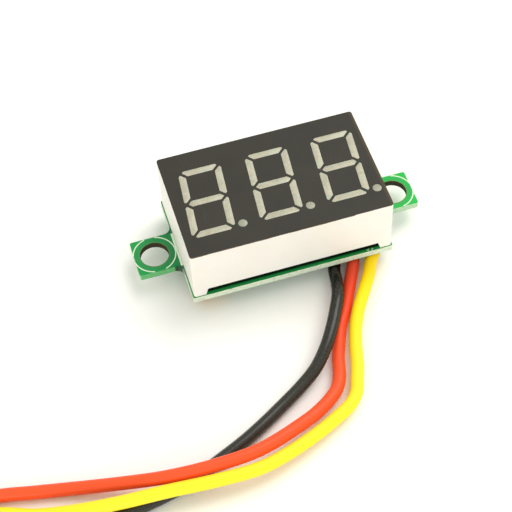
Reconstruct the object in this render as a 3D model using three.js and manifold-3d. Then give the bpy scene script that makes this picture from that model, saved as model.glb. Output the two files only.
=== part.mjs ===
// Three-digit LED panel voltmeter: a moulded display module soldered to a small circuit board
// with two screw ears, three insulated leads and a calibration trimmer on the back.
// Millimetres, +Z up. The origin is on the resting plane, under the middle of the board.
// The display faces +Z, +X runs along the ears, and the leads leave under the -Y edge.

import * as THREE from 'three';
import { mergeVertices } from 'three/addons/utils/BufferGeometryUtils.js';
import Module from 'manifold-3d';

const wasm = await Module();
wasm.setup();

// ---- Driving dimensions ---------------------------------------------------------------------

// Gaps between pieces
const seat = 0.02; // between stacked faces
const castingGap = 0.03; // around the cast segments in the display's housing
const cordGap = 0.35; // between a lead's tube and what it runs into

// Display module
const digitCount = 3;
const displayLength = 22.5;
const displayWidth = 14.0;
const displayHeight = 7.2;
const displayCorner = 0.3;
const displayWall = 0.6;
const maskThickness = 0.18;
const footLength = 1.3; // corner feet, at the board
const footHeight = 1.0;
const notchSlope = 0.3; // how far the notch's ends lean in at its top

// Digits
const digitHeight = 9.2;
const digitWidth = 4.8;
const digitLift = -0.1; // the digits' middle, from the face's middle
const digitSlant = Math.tan(THREE.MathUtils.degToRad(5.4));
const stroke = 0.79;
const mitreGap = 0.21; // half the gap at a mitre, measured along the stroke
const tipCut = 0.2; // the clipped outer corner of a stroke
const dotDiameter = 1.0;
const dotReach = 0.4; // from the digit's side to the dot's centre
const dotRise = 0.4; // from the digit's foot to the dot's centre

// Inside the display
const ledBoardThickness = 0.8;
const ledChipSize = 0.3;
const ledChipHeight = 0.25;
const castingSlab = 0.6;

// Display pins
const pinDiameter = 0.5;
const pinPitch = 2.54;
const pinRowSpacing = 10.16;
const pinsInRow = 6;
const pinHole = 0.8;
const pinSolderDiameter = 1.2;
const pinSolderHeight = 0.8;

// Circuit board, which stands off the resting plane on the clipped display pins
const boardStandOff = 1.9;
const boardThickness = 0.8;
const boardMarginX = 0.15; // board beyond the display, each side
const boardMarginY = 0.1;
const boardCorner = 0.2;
const earReach = 4.8; // ear beyond the board's end
const earWidth = 4.8;
const earFillet = 0.8;
const earCorner = 0.25;
const screwHole = 3.2; // clears an M3 screw
const screwSetback = 2.3; // from the ear's end to the screw's centre

// Trimmer
const trimmerLength = 3.6;
const trimmerWidth = 3.0;
const trimmerHeight = 1.0;
const trimmerShaft = 1.0;
const rotorClearance = 0.05; // radial and axial
const rotorDiameter = 2.6;
const rotorThickness = 0.5;
const rotorShaftLength = 0.6;
const driverSlotLength = 1.8;
const driverSlotWidth = 0.36;
const driverSlotDepth = 0.22;

// Leads
const leadDiameter = 1.4;
const tipDiameter = 0.6;
const tipLength = 4.0;
const leadSections = 44;
const padPitch = 2.54;
const padMiddleX = 7.62;
const padY = -5.2;
const padSolderHeight = 0.75;

// Coil of the leads' spare length: three rings side by side, two layers high
const coilX = -52;
const coilY = -16;
const coilMiddleRadius = 7.7;
const coilLayers = 2;
const tieThickness = 0.3;
const tieWidth = 1.6;
const tieAngle = -120; // degrees

// ---- Sizes worked out from the driving dimensions --------------------------------------------

const boardBottom = boardStandOff;
const boardTop = boardBottom + boardThickness;
const boardLength = displayLength + 2 * boardMarginX;
const boardWidth = displayWidth + 2 * boardMarginY;
const earSpan = boardLength + 2 * earReach;
const screwX = earSpan / 2 - screwSetback;

const displayBottom = boardTop + seat;
const displayTop = boardTop + displayHeight;
const maskBottom = displayTop - maskThickness;
const ledBoardBottom = displayBottom + footHeight;
const ledBoardTop = ledBoardBottom + ledBoardThickness;
const castingBottom = ledBoardTop + ledChipHeight + seat;
const castingShoulder = castingBottom + castingSlab;
const digitPitch = displayLength / digitCount;

const partBottom = boardBottom - seat; // where the parts on the board's back begin
const trimmerX = -boardLength / 2 + 3.0;
const trimmerY = 1.8;

const coilOuter = coilMiddleRadius + 1.5 * leadDiameter + seat;
const coilInner = coilMiddleRadius - 1.5 * leadDiameter - seat;
const coilBottom = tieThickness + seat;
const coilTop = coilBottom + coilLayers * leadDiameter + 2 * seat;
const firstLayer = coilBottom + seat + leadDiameter / 2;
const lastLayer = firstLayer + (coilLayers - 1) * leadDiameter;

// ---- Colours and finishes ----------------------------------------------------------------------

const finish = (color, roughness, metalness = 0) =>
  new THREE.MeshStandardMaterial({ color, roughness, metalness });
const whitePlastic = finish(0xf1eee4, 0.5);
const blackInk = finish(0x4a463f, 0.6);
const milkyEpoxy = finish(0xd7d4be, 0.35);
const whiteLaminate = finish(0xe4e0d0, 0.6);
const greenMask = finish(0x2bb45a, 0.35);
const tinned = finish(0xc9c9c6, 0.35, 1);
const blackMoulding = finish(0x1c1c1e, 0.55);
const blueCeramic = finish(0x2a5fa8, 0.45);
const whiteCeramic = finish(0xe8e6e0, 0.5);
const brownCeramic = finish(0x9b7a55, 0.5);
const yellowMoulding = finish(0xd69a2a, 0.5);
const brass = finish(0xc7a55a, 0.35, 1);
const blackVinyl = finish(0x141416, 0.4);
const redVinyl = finish(0xff4a28, 0.4);
const yellowVinyl = finish(0xffe81c, 0.4);
const whiteTie = finish(0xf0f0ee, 0.5);

// ---- Shape helpers -------------------------------------------------------------------------------

/** A closed three.js geometry as a solid that can be joined and cut. */
function solid(geometry) {
  const plain = geometry.index ? geometry.toNonIndexed() : geometry.clone();
  plain.deleteAttribute('normal');
  plain.deleteAttribute('uv');
  const merged = mergeVertices(plain, 1e-5);
  return new wasm.Manifold(new wasm.Mesh({
    numProp: 3,
    vertProperties: new Float32Array(merged.attributes.position.array),
    triVerts: new Uint32Array(merged.index.array),
  }));
}

/** A joined or cut solid as a three.js geometry. */
function geometryOf(body) {
  const mesh = body.getMesh();
  const geometry = new THREE.BufferGeometry();
  geometry.setAttribute('position', new THREE.BufferAttribute(new Float32Array(mesh.vertProperties), 3));
  geometry.setIndex(new THREE.BufferAttribute(new Uint32Array(mesh.triVerts), 1));
  geometry.computeVertexNormals();
  return geometry;
}

/** A straight-sided solid over an outline, from one height to another. */
function prism(outline, bottom, top, curveSegments = 8) {
  const shape = outline instanceof THREE.Shape ? outline : new THREE.Shape(outline);
  const geometry = new THREE.ExtrudeGeometry(shape, { depth: top - bottom, bevelEnabled: false, curveSegments });
  return geometry.translate(0, 0, bottom);
}

/** A box from its middle in plan, its plan size and its two heights. */
function block(x, y, length, width, bottom, top) {
  const geometry = new THREE.BoxGeometry(length, width, top - bottom);
  return geometry.translate(x, y, (bottom + top) / 2);
}

/** A round bar or hole with its axis along Z. */
function upright(x, y, diameter, bottom, top, sides = 24) {
  const geometry = new THREE.CylinderGeometry(diameter / 2, diameter / 2, top - bottom, sides);
  return geometry.rotateX(Math.PI / 2).translate(x, y, (bottom + top) / 2);
}

/** A turned solid about Z from a closed profile of [radius, height] points. */
function turned(profile, sides) {
  const points = profile.map(([radius, height]) => new THREE.Vector2(radius, height));
  return new THREE.LatheGeometry(points, sides).rotateX(Math.PI / 2);
}

function roundedRectangle(length, width, radius) {
  const x = length / 2 - radius;
  const y = width / 2 - radius;
  const shape = new THREE.Shape();
  shape.absarc(x, -y, radius, -Math.PI / 2, 0);
  shape.absarc(x, y, radius, 0, Math.PI / 2);
  shape.absarc(-x, y, radius, Math.PI / 2, Math.PI);
  shape.absarc(-x, -y, radius, Math.PI, 1.5 * Math.PI);
  shape.closePath();
  return shape;
}

/** A convex outline, anticlockwise, with every side moved outwards by a distance. */
function grown(outline, distance) {
  const count = outline.length;
  const edges = outline.map((point, i) => {
    const next = outline[(i + 1) % count];
    const along = next.clone().sub(point).normalize();
    const outward = new THREE.Vector2(along.y, -along.x);
    return { start: point.clone().addScaledVector(outward, distance), along };
  });
  return edges.map((edge, i) => {
    const before = edges[(i + count - 1) % count];
    const offset = edge.start.clone().sub(before.start);
    const reach = offset.cross(edge.along) / before.along.cross(edge.along);
    return before.start.clone().addScaledVector(before.along, reach);
  });
}

const join = (first, ...rest) => rest.reduce((body, piece) => body.add(piece), first);
const cut = (first, ...rest) => rest.reduce((body, piece) => body.subtract(piece), first);

// ---- Digit outlines --------------------------------------------------------------------------------

/** The seven strokes of one upright digit about its own middle, as [across, up] corner lists. */
function strokes() {
  const side = digitWidth / 2;
  const top = digitHeight / 2;
  const inner = side - stroke;
  const tip = side - tipCut;
  const rise = tip - inner; // a mitre's rise, at 45 degrees
  const endStroke = [
    [inner - mitreGap, top - stroke],
    [inner - mitreGap + rise, top - tipCut],
    [inner - mitreGap + rise - tipCut, top],
  ];
  const middleStroke = [[tip - mitreGap - stroke / 2, -stroke / 2], [tip - mitreGap, 0], [tip - mitreGap - stroke / 2, stroke / 2]];
  const sideStroke = [
    [inner, mitreGap + rise],
    [tip, mitreGap],
    [side, mitreGap + tipCut],
    [side, top - stroke - mitreGap + rise - tipCut],
    [tip, top - stroke - mitreGap + rise],
    [inner, top - stroke - mitreGap],
  ];
  const mirrored = (points, across, up) => points.map(([x, y]) => [x * across, y * up]);
  const capped = (points, up) => [...mirrored(points, 1, up), ...mirrored(points, -1, up).reverse()];
  return [
    capped(endStroke, 1),
    capped(endStroke, -1),
    capped(middleStroke, 1),
    ...[[1, 1], [-1, 1], [1, -1], [-1, -1]].map(([across, up]) => mirrored(sideStroke, across, up)),
  ];
}

/** Every lit shape of the face, in place and anticlockwise: the strokes of each digit and its dot. */
function litOutlines() {
  const outlines = [];
  for (let digit = 0; digit < digitCount; digit += 1) {
    const middle = (digit - (digitCount - 1) / 2) * digitPitch;
    for (const points of strokes()) {
      const placed = points.map(([x, y]) =>
        new THREE.Vector2(middle + x + digitSlant * (y + digitLift), y + digitLift));
      outlines.push(THREE.ShapeUtils.isClockWise(placed) ? placed.reverse() : placed);
    }
    const dot = new THREE.Shape();
    dot.absarc(middle + digitWidth / 2 + dotReach, digitLift - digitHeight / 2 + dotRise, dotDiameter / 2, 0, 2 * Math.PI);
    outlines.push(dot.getPoints(8).slice(0, -1));
  }
  return outlines;
}

const lit = litOutlines();

// ---- The model ---------------------------------------------------------------------------------------

const meter = new THREE.Group();
meter.name = 'panel_voltmeter';

function addPiece(name, geometry, material) {
  const mesh = new THREE.Mesh(geometry, material);
  mesh.name = name;
  meter.add(mesh);
  return mesh;
}

// Display housing: an open-backed shell with a shaft for every lit shape, and a notch under both long sides
function displayHousing() {
  const shell = solid(prism(roundedRectangle(displayLength, displayWidth, displayCorner), displayBottom, maskBottom - seat));
  const back = solid(block(0, 0, displayLength - 2 * displayWall, displayWidth - 2 * displayWall,
    displayBottom - 1, castingShoulder + seat));
  const notchEnd = displayLength / 2 - footLength;
  const slopePerHeight = notchSlope / footHeight;
  const notch = new THREE.Shape([
    new THREE.Vector2(-notchEnd - slopePerHeight, -1),
    new THREE.Vector2(notchEnd + slopePerHeight, -1),
    new THREE.Vector2(notchEnd - notchSlope, footHeight),
    new THREE.Vector2(-notchEnd + notchSlope, footHeight),
  ]);
  const notchBody = solid(prism(notch, -displayWidth, displayWidth).rotateX(Math.PI / 2).translate(0, 0, displayBottom));
  const shafts = lit.map((outline) =>
    solid(prism(grown(outline, castingGap), castingShoulder - 0.5, displayTop)));
  return geometryOf(cut(shell, back, notchBody, ...shafts));
}

// Printed mask on the face, open over every lit shape
function faceMask() {
  const sheet = roundedRectangle(displayLength, displayWidth, displayCorner);
  sheet.holes = lit.map((outline) => new THREE.Path(grown(outline, castingGap)));
  return prism(sheet, maskBottom, displayTop);
}

// Cast epoxy: one slab behind the housing's front, with a light guide up every shaft
function segmentCasting() {
  const slab = solid(block(0, 0, displayLength - 2 * displayWall - 2 * castingGap,
    displayWidth - 2 * displayWall - 2 * castingGap, castingBottom, castingShoulder));
  const guides = lit.map((outline) => solid(prism(outline, castingShoulder - castingSlab / 2, displayTop)));
  return geometryOf(join(slab, ...guides));
}

// Board inside the display, with one LED chip under the middle of every lit shape
function ledBoard() {
  const sheet = solid(block(0, 0, displayLength - 2 * displayWall - 2 * castingGap,
    displayWidth - 2 * displayWall - 2 * castingGap, ledBoardBottom, ledBoardTop));
  const chips = lit.map((outline) => {
    const x = outline.reduce((sum, point) => sum + point.x, 0) / outline.length;
    const y = outline.reduce((sum, point) => sum + point.y, 0) / outline.length;
    return solid(block(x, y, ledChipSize, ledChipSize, ledBoardTop - ledBoardThickness / 2, ledBoardTop + ledChipHeight));
  });
  return geometryOf(join(sheet, ...chips));
}

addPiece('reflector_housing', displayHousing(), whitePlastic);
addPiece('face_mask', faceMask(), blackInk);
addPiece('segment_casting', segmentCasting(), milkyEpoxy);
addPiece('led_board', ledBoard(), whiteLaminate);

// Display pins: a full row behind and a row short of its last pin in front
function pinPlaces() {
  const places = [];
  for (const row of [-1, 1]) {
    const count = row < 0 ? pinsInRow - 1 : pinsInRow;
    for (let i = 0; i < count; i += 1) {
      places.push([(i - (pinsInRow - 1) / 2) * pinPitch, (row * pinRowSpacing) / 2]);
    }
  }
  return places;
}

// Each pin with the solder that fills round it under the board
function displayPin() {
  const pinTop = ledBoardBottom - seat;
  return turned([
    [0, 0],
    [pinDiameter / 2, 0],
    [pinDiameter / 2, partBottom - pinSolderHeight],
    [pinSolderDiameter / 2, partBottom],
    [pinDiameter / 2, partBottom],
    [pinDiameter / 2, pinTop],
    [0, pinTop],
  ], 8);
}

pinPlaces().forEach(([x, y], i) => {
  addPiece(`display_pin_${i + 1}`, displayPin(), tinned).position.set(x, y, 0);
});

// Main circuit board with its two screw ears
function mainBoard() {
  const halfLength = boardLength / 2;
  const halfWidth = boardWidth / 2;
  const earEnd = earSpan / 2;
  const earSide = earWidth / 2;
  const outline = new THREE.Shape();
  for (const side of [1, -1]) {
    const turn = side > 0 ? 0 : Math.PI;
    const arc = (x, y, radius, from, to, clockwise = false) =>
      outline.absarc(side * x, side * y, radius, turn + from, turn + to, clockwise);
    arc(halfLength - boardCorner, -halfWidth + boardCorner, boardCorner, -Math.PI / 2, 0);
    arc(halfLength + earFillet, -earSide - earFillet, earFillet, Math.PI, Math.PI / 2, true);
    arc(earEnd - earCorner, -earSide + earCorner, earCorner, -Math.PI / 2, 0);
    arc(earEnd - earCorner, earSide - earCorner, earCorner, 0, Math.PI / 2);
    arc(halfLength + earFillet, earSide + earFillet, earFillet, 1.5 * Math.PI, Math.PI, true);
    arc(halfLength - boardCorner, halfWidth - boardCorner, boardCorner, 0, Math.PI / 2);
  }
  outline.closePath();
  const round = (x, y, diameter, sides) => {
    const hole = new THREE.Path();
    for (let i = 0; i < sides; i += 1) {
      const angle = (2 * Math.PI * i) / sides;
      const place = [x + (Math.cos(angle) * diameter) / 2, y + (Math.sin(angle) * diameter) / 2];
      if (i === 0) hole.moveTo(...place);
      else hole.lineTo(...place);
    }
    hole.closePath();
    return hole;
  };
  outline.holes = [
    ...[-screwX, screwX].map((x) => round(x, 0, screwHole, 32)),
    ...pinPlaces().map(([x, y]) => round(x, y, pinHole, 8)),
  ];
  return prism(outline, boardBottom, boardTop, 5);
}

addPiece('main_pcb', mainBoard(), greenMask);

// Parts on the back of the board hang down from it: a body with flat feet soldered to the board
function boardPart({ x, y, length, width, height, lift = 0, feet = [] }) {
  const body = solid(block(x, y, length, width, partBottom - lift - height, partBottom - lift));
  const footThickness = 0.2 + lift;
  const pads = feet.map(([footX, footY, footLengthX, footWidthY]) =>
    solid(block(x + footX, y + footY, footLengthX, footWidthY, partBottom - footThickness, partBottom)));
  return geometryOf(join(body, ...pads));
}

/** Feet along both long sides of a chip, as [x, y, length, width] from the chip's middle. */
function footRows(count, pitch, footWidth, chipWidth, reach) {
  const rows = [];
  for (const side of [-1, 1]) {
    for (let i = 0; i < count; i += 1) {
      rows.push([(i - (count - 1) / 2) * pitch, side * (chipWidth / 2 + reach / 2 - 0.1), footWidth, reach + 0.2]);
    }
  }
  return rows;
}

const boardEnd = boardLength / 2;
addPiece('meter_chip', boardPart({
  x: -0.6, y: 0.4, length: 6.5, width: 4.4, height: 0.9, lift: 0.1, feet: footRows(10, 0.65, 0.24, 4.4, 0.9),
}), blackMoulding);
addPiece('voltage_regulator', boardPart({
  x: boardEnd - 3.2,
  y: -1.7,
  length: 4.5,
  width: 2.5,
  height: 1.5,
  feet: [[-1.5, 1.6, 0.45, 1.2], [0, 1.6, 0.45, 1.2], [1.5, 1.6, 0.45, 1.2], [0, -1.4, 1.7, 0.8]],
}), blackMoulding);
addPiece('protection_diode', boardPart({
  x: boardEnd - 3.4, y: 2.4, length: 2.7, width: 1.6, height: 1.1, feet: [[-1.5, 0, 0.8, 0.6], [1.5, 0, 0.8, 0.6]],
}), blackMoulding);

const tantalum = { length: 3.2, width: 1.6, height: 1.5, feet: [[-1.3, 0, 0.8, 1.2], [1.3, 0, 0.8, 1.2]] };
addPiece('input_capacitor', boardPart({ ...tantalum, x: boardEnd - 2.0, y: 5.4 }), yellowMoulding);
addPiece('output_capacitor', boardPart({ ...tantalum, x: 2.2 - boardEnd, y: -5.3 }), yellowMoulding);
[1.3, -0.9].forEach((y, i) => {
  addPiece(`filter_capacitor_${i + 1}`, boardPart({ x: 4.4, y, length: 2.0, width: 1.25, height: 0.9 }), brownCeramic);
});

// Chip resistors, as [x, y, turned a quarter]
const resistors = [
  [-6.2, -3.6, false], [-3.9, -3.6, false], [-1.6, -3.6, false], [0.7, -3.6, false],
  [trimmerX, -1.3, false], [trimmerX, -2.8, false], [-5.3, 1.9, true], [-5.3, -0.6, true],
];
resistors.forEach(([x, y, quarter], i) => {
  const [length, width] = quarter ? [0.8, 1.6] : [1.6, 0.8];
  addPiece(`resistor_${i + 1}`, boardPart({ x, y, length, width, height: 0.45 }), i < 4 ? blueCeramic : blackMoulding);
});

// Trimmer: a base with a blind bore, and a slotted rotor whose shaft turns in it
const trimmerBottom = partBottom - trimmerHeight;
const roundSides = 24;

function trimmerBase() {
  const base = solid(block(trimmerX, trimmerY, trimmerLength, trimmerWidth, trimmerBottom, partBottom));
  const feet = [[-1.0, 1.7], [1.0, 1.7], [0, -1.7]].map(([x, y]) =>
    solid(block(trimmerX + x, trimmerY + y, 0.7, 0.8, partBottom - 0.25, partBottom)));
  const boreDiameter = (trimmerShaft + 2 * rotorClearance) / Math.cos(Math.PI / roundSides);
  const bore = solid(upright(trimmerX, trimmerY, boreDiameter, trimmerBottom - 0.5,
    trimmerBottom + rotorShaftLength + rotorClearance, roundSides));
  return geometryOf(cut(join(base, ...feet), bore));
}

function trimmerRotor() {
  const discTop = trimmerBottom - rotorClearance;
  const discBottom = discTop - rotorThickness;
  const disc = solid(upright(0, 0, rotorDiameter, discBottom, discTop, roundSides));
  const shaft = solid(upright(0, 0, trimmerShaft, discTop - rotorThickness / 2, trimmerBottom + rotorShaftLength, roundSides));
  const slots = [[driverSlotLength, driverSlotWidth], [driverSlotWidth, driverSlotLength]].map(([length, width]) =>
    solid(block(0, 0, length, width, discBottom - 0.1, discBottom + driverSlotDepth)));
  return geometryOf(cut(join(disc, shaft), ...slots));
}

addPiece('trimmer_base', trimmerBase(), whiteCeramic);
addPiece('trimmer_rotor', trimmerRotor(), brass).position.set(trimmerX, trimmerY, 0);

// ---- Leads ---------------------------------------------------------------------------------------------

// Each lead's route from its pad to the coil, then its ring in the coil and where its end leaves the coil, in degrees
const leads = [
  {
    colour: 'black',
    material: blackVinyl,
    ring: coilMiddleRadius + leadDiameter,
    leaves: 205,
    route: [
      [4.9, -6.2, 1.1], [4.55, -7.2, 1.1], [4.2, -9.05, 1.6], [3.7, -10.9, 2.0], [2.7, -13.0, 2.08],
      [1.4, -15.3, 2.04], [0.2, -17.0, 1.8], [-1.4, -18.7, 1.35], [-3.3, -20.0, 0.95], [-6.0, -21.6, 0.72],
      [-8.9, -23.3, 0.72], [-11.2, -24.5, 0.72], [-13.7, -25.6, 0.72], [-17.1, -27.0, 0.72],
      [-20.6, -27.9, 0.72], [-24.2, -28.5, 0.72], [-28.2, -28.9, 0.72], [-32.4, -28.6, 0.72],
      [-36.6, -27.6, 0.72], [-40.6, -26.3, 0.72], [-44.0, -25.3, 0.9],
    ],
  },
  {
    colour: 'red',
    material: redVinyl,
    ring: coilMiddleRadius - leadDiameter,
    leaves: 76,
    route: [
      [7.05, -6.15, 1.05], [6.8, -7.0, 0.95], [6.1, -8.4, 0.78], [5.1, -10.3, 0.72], [4.0, -12.4, 0.72],
      [2.9, -14.2, 0.72], [2.1, -16.0, 0.72], [1.3, -18.1, 0.78], [0.8, -19.9, 0.9], [0.1, -21.4, 1.05],
      [-1.1, -22.6, 1.2], [-2.7, -23.7, 1.4], [-4.7, -24.7, 1.65], [-9.8, -26.5, 2.1], [-14.5, -26.9, 2.24],
      [-19.7, -26.6, 2.15], [-24.6, -25.4, 1.4], [-29.5, -24.1, 0.8], [-32.7, -23.4, 0.72],
      [-36.0, -22.7, 0.72], [-40.0, -22.4, 0.8],
    ],
  },
  {
    colour: 'yellow',
    material: yellowVinyl,
    ring: coilMiddleRadius,
    leaves: 191,
    route: [
      [9.6, -6.25, 1.1], [9.0, -6.95, 1.1], [7.85, -9.1, 1.2], [6.5, -11.2, 1.3], [5.2, -13.2, 1.3],
      [4.2, -15.3, 1.2], [3.5, -17.4, 1.15], [2.9, -19.6, 1.1], [2.3, -21.2, 1.1], [1.7, -22.7, 1.1],
      [0.6, -23.9, 1.15], [-1.1, -24.9, 1.25], [-3.5, -26.1, 1.4], [-7.0, -27.5, 1.65], [-10.4, -28.4, 1.9],
      [-15.0, -28.5, 2.12], [-20.0, -28.2, 2.24], [-25.0, -27.9, 2.15], [-29.9, -27.0, 1.5],
      [-33.2, -26.0, 0.9], [-36.4, -24.7, 0.72], [-40.0, -24.1, 0.74],
    ],
  },
];

// The tube along the route, up to where it runs into the coil
function leadTube({ route, ring }) {
  const entry = Math.sqrt(coilOuter ** 2 - (ring - leadDiameter / 2) ** 2) + cordGap;
  const points = [...route, [coilX + entry, coilY - ring, firstLayer]].map((point) => new THREE.Vector3(...point));
  const corner = (i) => new THREE.Vector2(leadDiameter / 2, 0).rotateAround(new THREE.Vector2(), (i * Math.PI) / 4);
  const section = new THREE.Shape(Array.from({ length: 8 }, (_, i) => corner(i)));
  return new THREE.ExtrudeGeometry(section, {
    steps: leadSections, bevelEnabled: false, extrudePath: new THREE.CatmullRomCurve3(points, false, 'centripetal'),
  });
}

// The tinned end, where the lead has left the coil along a tangent
function leadTip({ ring, leaves }) {
  const angle = THREE.MathUtils.degToRad(leaves);
  const start = new THREE.Vector3(coilX + ring * Math.cos(angle), coilY + ring * Math.sin(angle), lastLayer);
  const along = new THREE.Vector3(Math.sin(angle), -Math.cos(angle), 0);
  const clear = Math.sqrt((coilOuter + cordGap) ** 2 - (ring - tipDiameter / 2) ** 2) + tipDiameter / 2;
  const middle = start.addScaledVector(along, clear + tipLength / 2);
  const bar = new THREE.CylinderGeometry(tipDiameter / 2, tipDiameter / 2, tipLength, 8);
  bar.applyQuaternion(new THREE.Quaternion().setFromUnitVectors(new THREE.Vector3(0, 1, 0), along));
  return bar.translate(middle.x, middle.y, middle.z);
}

// The solder that holds a lead's stripped end to its pad
function padSolder(x) {
  const dome = new THREE.SphereGeometry(1, 12, 8);
  dome.scale(0.5, 0.78, padSolderHeight);
  const below = solid(block(x, padY, 3, 3, 0, partBottom));
  return geometryOf(solid(dome.translate(x, padY, partBottom)).intersect(below));
}

leads.forEach((lead, i) => {
  addPiece(`lead_${lead.colour}`, leadTube(lead), lead.material);
  addPiece(`lead_tip_${lead.colour}`, leadTip(lead), tinned);
  addPiece(`pad_solder_${lead.colour}`, padSolder(padMiddleX + (i - 1) * padPitch), tinned);
});

addPiece('lead_coil', turned([
  [coilInner, coilBottom], [coilOuter, coilBottom], [coilOuter, coilTop], [coilInner, coilTop], [coilInner, coilBottom],
], 40), redVinyl).position.set(coilX, coilY, 0);

// The tie: a flat band round the coil's section
function coilTie() {
  const innerSide = coilInner - cordGap;
  const outerSide = coilOuter + cordGap;
  const middle = (innerSide + outerSide) / 2;
  const opening = outerSide - innerSide;
  const band = solid(block(middle, 0, opening + 2 * tieThickness, tieWidth, 0, coilTop + seat + tieThickness));
  const inside = solid(block(middle, 0, opening, tieWidth + 1, tieThickness, coilTop + seat));
  return geometryOf(cut(band, inside));
}

const tie = addPiece('coil_tie', coilTie(), whiteTie);
tie.position.set(coilX, coilY, 0);
tie.rotation.z = THREE.MathUtils.degToRad(tieAngle);

export default meter;
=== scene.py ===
"""Three-digit LED panel voltmeter: display module, small circuit board and three leads.

Shapes are built in millimetres and scaled to metres when a piece is finished.
"""
import math

import bmesh
import bpy
from mathutils import Matrix, Vector, noise


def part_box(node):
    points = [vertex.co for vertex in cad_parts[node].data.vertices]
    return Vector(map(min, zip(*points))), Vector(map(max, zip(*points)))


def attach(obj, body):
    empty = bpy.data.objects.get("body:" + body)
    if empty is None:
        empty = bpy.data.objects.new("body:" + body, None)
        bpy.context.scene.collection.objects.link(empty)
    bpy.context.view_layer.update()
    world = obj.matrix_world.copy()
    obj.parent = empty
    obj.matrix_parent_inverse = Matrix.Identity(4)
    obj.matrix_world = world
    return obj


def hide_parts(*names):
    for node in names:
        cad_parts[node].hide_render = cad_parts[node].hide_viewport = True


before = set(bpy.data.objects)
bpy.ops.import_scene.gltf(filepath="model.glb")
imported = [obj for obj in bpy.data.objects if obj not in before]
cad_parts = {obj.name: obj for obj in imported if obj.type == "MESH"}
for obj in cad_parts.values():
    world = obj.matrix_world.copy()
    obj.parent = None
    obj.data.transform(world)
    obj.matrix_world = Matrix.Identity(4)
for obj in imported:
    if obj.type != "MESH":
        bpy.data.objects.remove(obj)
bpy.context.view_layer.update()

MM = 0.001


def span(node):
    """Lowest and highest corner of a CAD node, in millimetres."""
    low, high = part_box(node)
    return low / MM, high / MM


# ---- Camera ----

VIEW_AZIMUTH = math.radians(-14.27)
VIEW_ELEVATION = math.radians(53.54)
VIEW_ROLL = math.radians(-3.35)
CAMERA_PLACE = Vector((-0.02657, -0.09507, 0.13025))
CAMERA_LENS = 101.6  # on a 36 mm sensor


def make_camera():
    back = Vector((
        math.sin(VIEW_AZIMUTH) * math.cos(VIEW_ELEVATION),
        -math.cos(VIEW_AZIMUTH) * math.cos(VIEW_ELEVATION),
        math.sin(VIEW_ELEVATION),
    ))
    right = Vector((0, 0, 1)).cross(back).normalized()
    up = back.cross(right)
    rolled_right = right * math.cos(VIEW_ROLL) + up * math.sin(VIEW_ROLL)
    rolled_up = up * math.cos(VIEW_ROLL) - right * math.sin(VIEW_ROLL)
    data = bpy.data.cameras.new("camera")
    data.lens = CAMERA_LENS
    data.sensor_width = 36
    data.clip_start = 0.005
    camera = bpy.data.objects.new("camera", data)
    turn = Matrix((rolled_right, rolled_up, back)).transposed().to_4x4()
    camera.matrix_world = Matrix.Translation(CAMERA_PLACE) @ turn
    bpy.context.scene.collection.objects.link(camera)
    bpy.context.scene.camera = camera


make_camera()

# ---- Sizes, in millimetres ----

# Display and digits
DIGITS = 3
DIGIT_HEIGHT = 9.2
DIGIT_WIDTH = 4.8
DIGIT_LIFT = -0.1
DIGIT_SLANT = math.tan(math.radians(5.4))
STROKE = 0.79
MITRE_GAP = 0.21
TIP_CUT = 0.2
TIP_ROUND = 0.1
DOT_DIAMETER = 1.0
DOT_REACH = 0.4
DOT_RISE = 0.4
CASTING_GAP = 0.03
DISPLAY_CORNER = 0.3
DISPLAY_WALL = 0.6
FOOT_LENGTH = 1.3
FOOT_HEIGHT = 1.0
NOTCH_SLOPE = 0.3
INK_FILM = 0.03

# Circuit board
EAR_WIDTH = 4.8
EAR_FILLET = 0.8
EAR_CORNER = 0.25
BOARD_CORNER = 0.2
SCREW_HOLE = 3.2
SCREW_SETBACK = 2.3
BOARD_MARGIN = 0.15
PIN_PITCH = 2.54
PIN_ROW_SPACING = 10.16
PINS_IN_ROW = 6
PRINT_FILM = 0.018  # thickness of the white print on the board
PAD_THICKNESS = 0.03  # solder pads under the board
PAD_INSET = 0.001  # how far a pad stays clear of the board
TRIMMER_HALF_WIDTH = 1.5
LED_CHIP_HALF = 0.15
LED_CHIP_HEIGHT = 0.25

# Leads
LEAD_DIAMETER = 1.4
LEAD_LENGTH = 140.0
COIL_PLACE = Vector((-52.0, -16.0))
COIL_MIDDLE_RADIUS = 7.7
FIRST_LAYER = 1.04
CLIMB_FROM = 262  # degrees round the coil where the second layer's climb starts
CLIMB_TO = 308
STRAND_BUNDLE_RADIUS = 0.29
STRANDS = 7
TIP_LENGTH = 4.2
TIP_OVERLAP = 0.4  # of the bare strands, inside the insulation
TIE_ANGLE = -120  # degrees

housing_low = span("reflector_housing")[0]
mask_low, mask_high = span("face_mask")
board_low, board_high = span("main_pcb")
DISPLAY_LENGTH = mask_high.x - mask_low.x
DISPLAY_WIDTH = mask_high.y - mask_low.y
FACE = mask_high.z
BOARD_TOP = board_high.z
BOARD_UNDER = board_low.z
BOARD_HALF = DISPLAY_LENGTH / 2 + BOARD_MARGIN
SCREW_X = board_high.x - SCREW_SETBACK

# ---- Shader node groups ----


def new_group(name, inputs, outputs):
    tree = bpy.data.node_groups.new(name, "ShaderNodeTree")
    for label, kind, value in inputs:
        socket = tree.interface.new_socket(label, in_out="INPUT", socket_type=kind)
        if value is not None:
            socket.default_value = value
    for label, kind in outputs:
        tree.interface.new_socket(label, in_out="OUTPUT", socket_type=kind)
    return tree, tree.nodes.new("NodeGroupInput"), tree.nodes.new("NodeGroupOutput")


def add(tree, kind, values=None, **settings):
    """A node with its settings, its input values by name or number, and links where a value is a socket."""
    node = tree.nodes.new(kind)
    for key, value in settings.items():
        setattr(node, key, value)
    for key, value in (values or {}).items():
        socket = node.inputs[key]
        if isinstance(value, bpy.types.NodeSocket):
            tree.links.new(value, socket)
        else:
            socket.default_value = value
    return node


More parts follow.
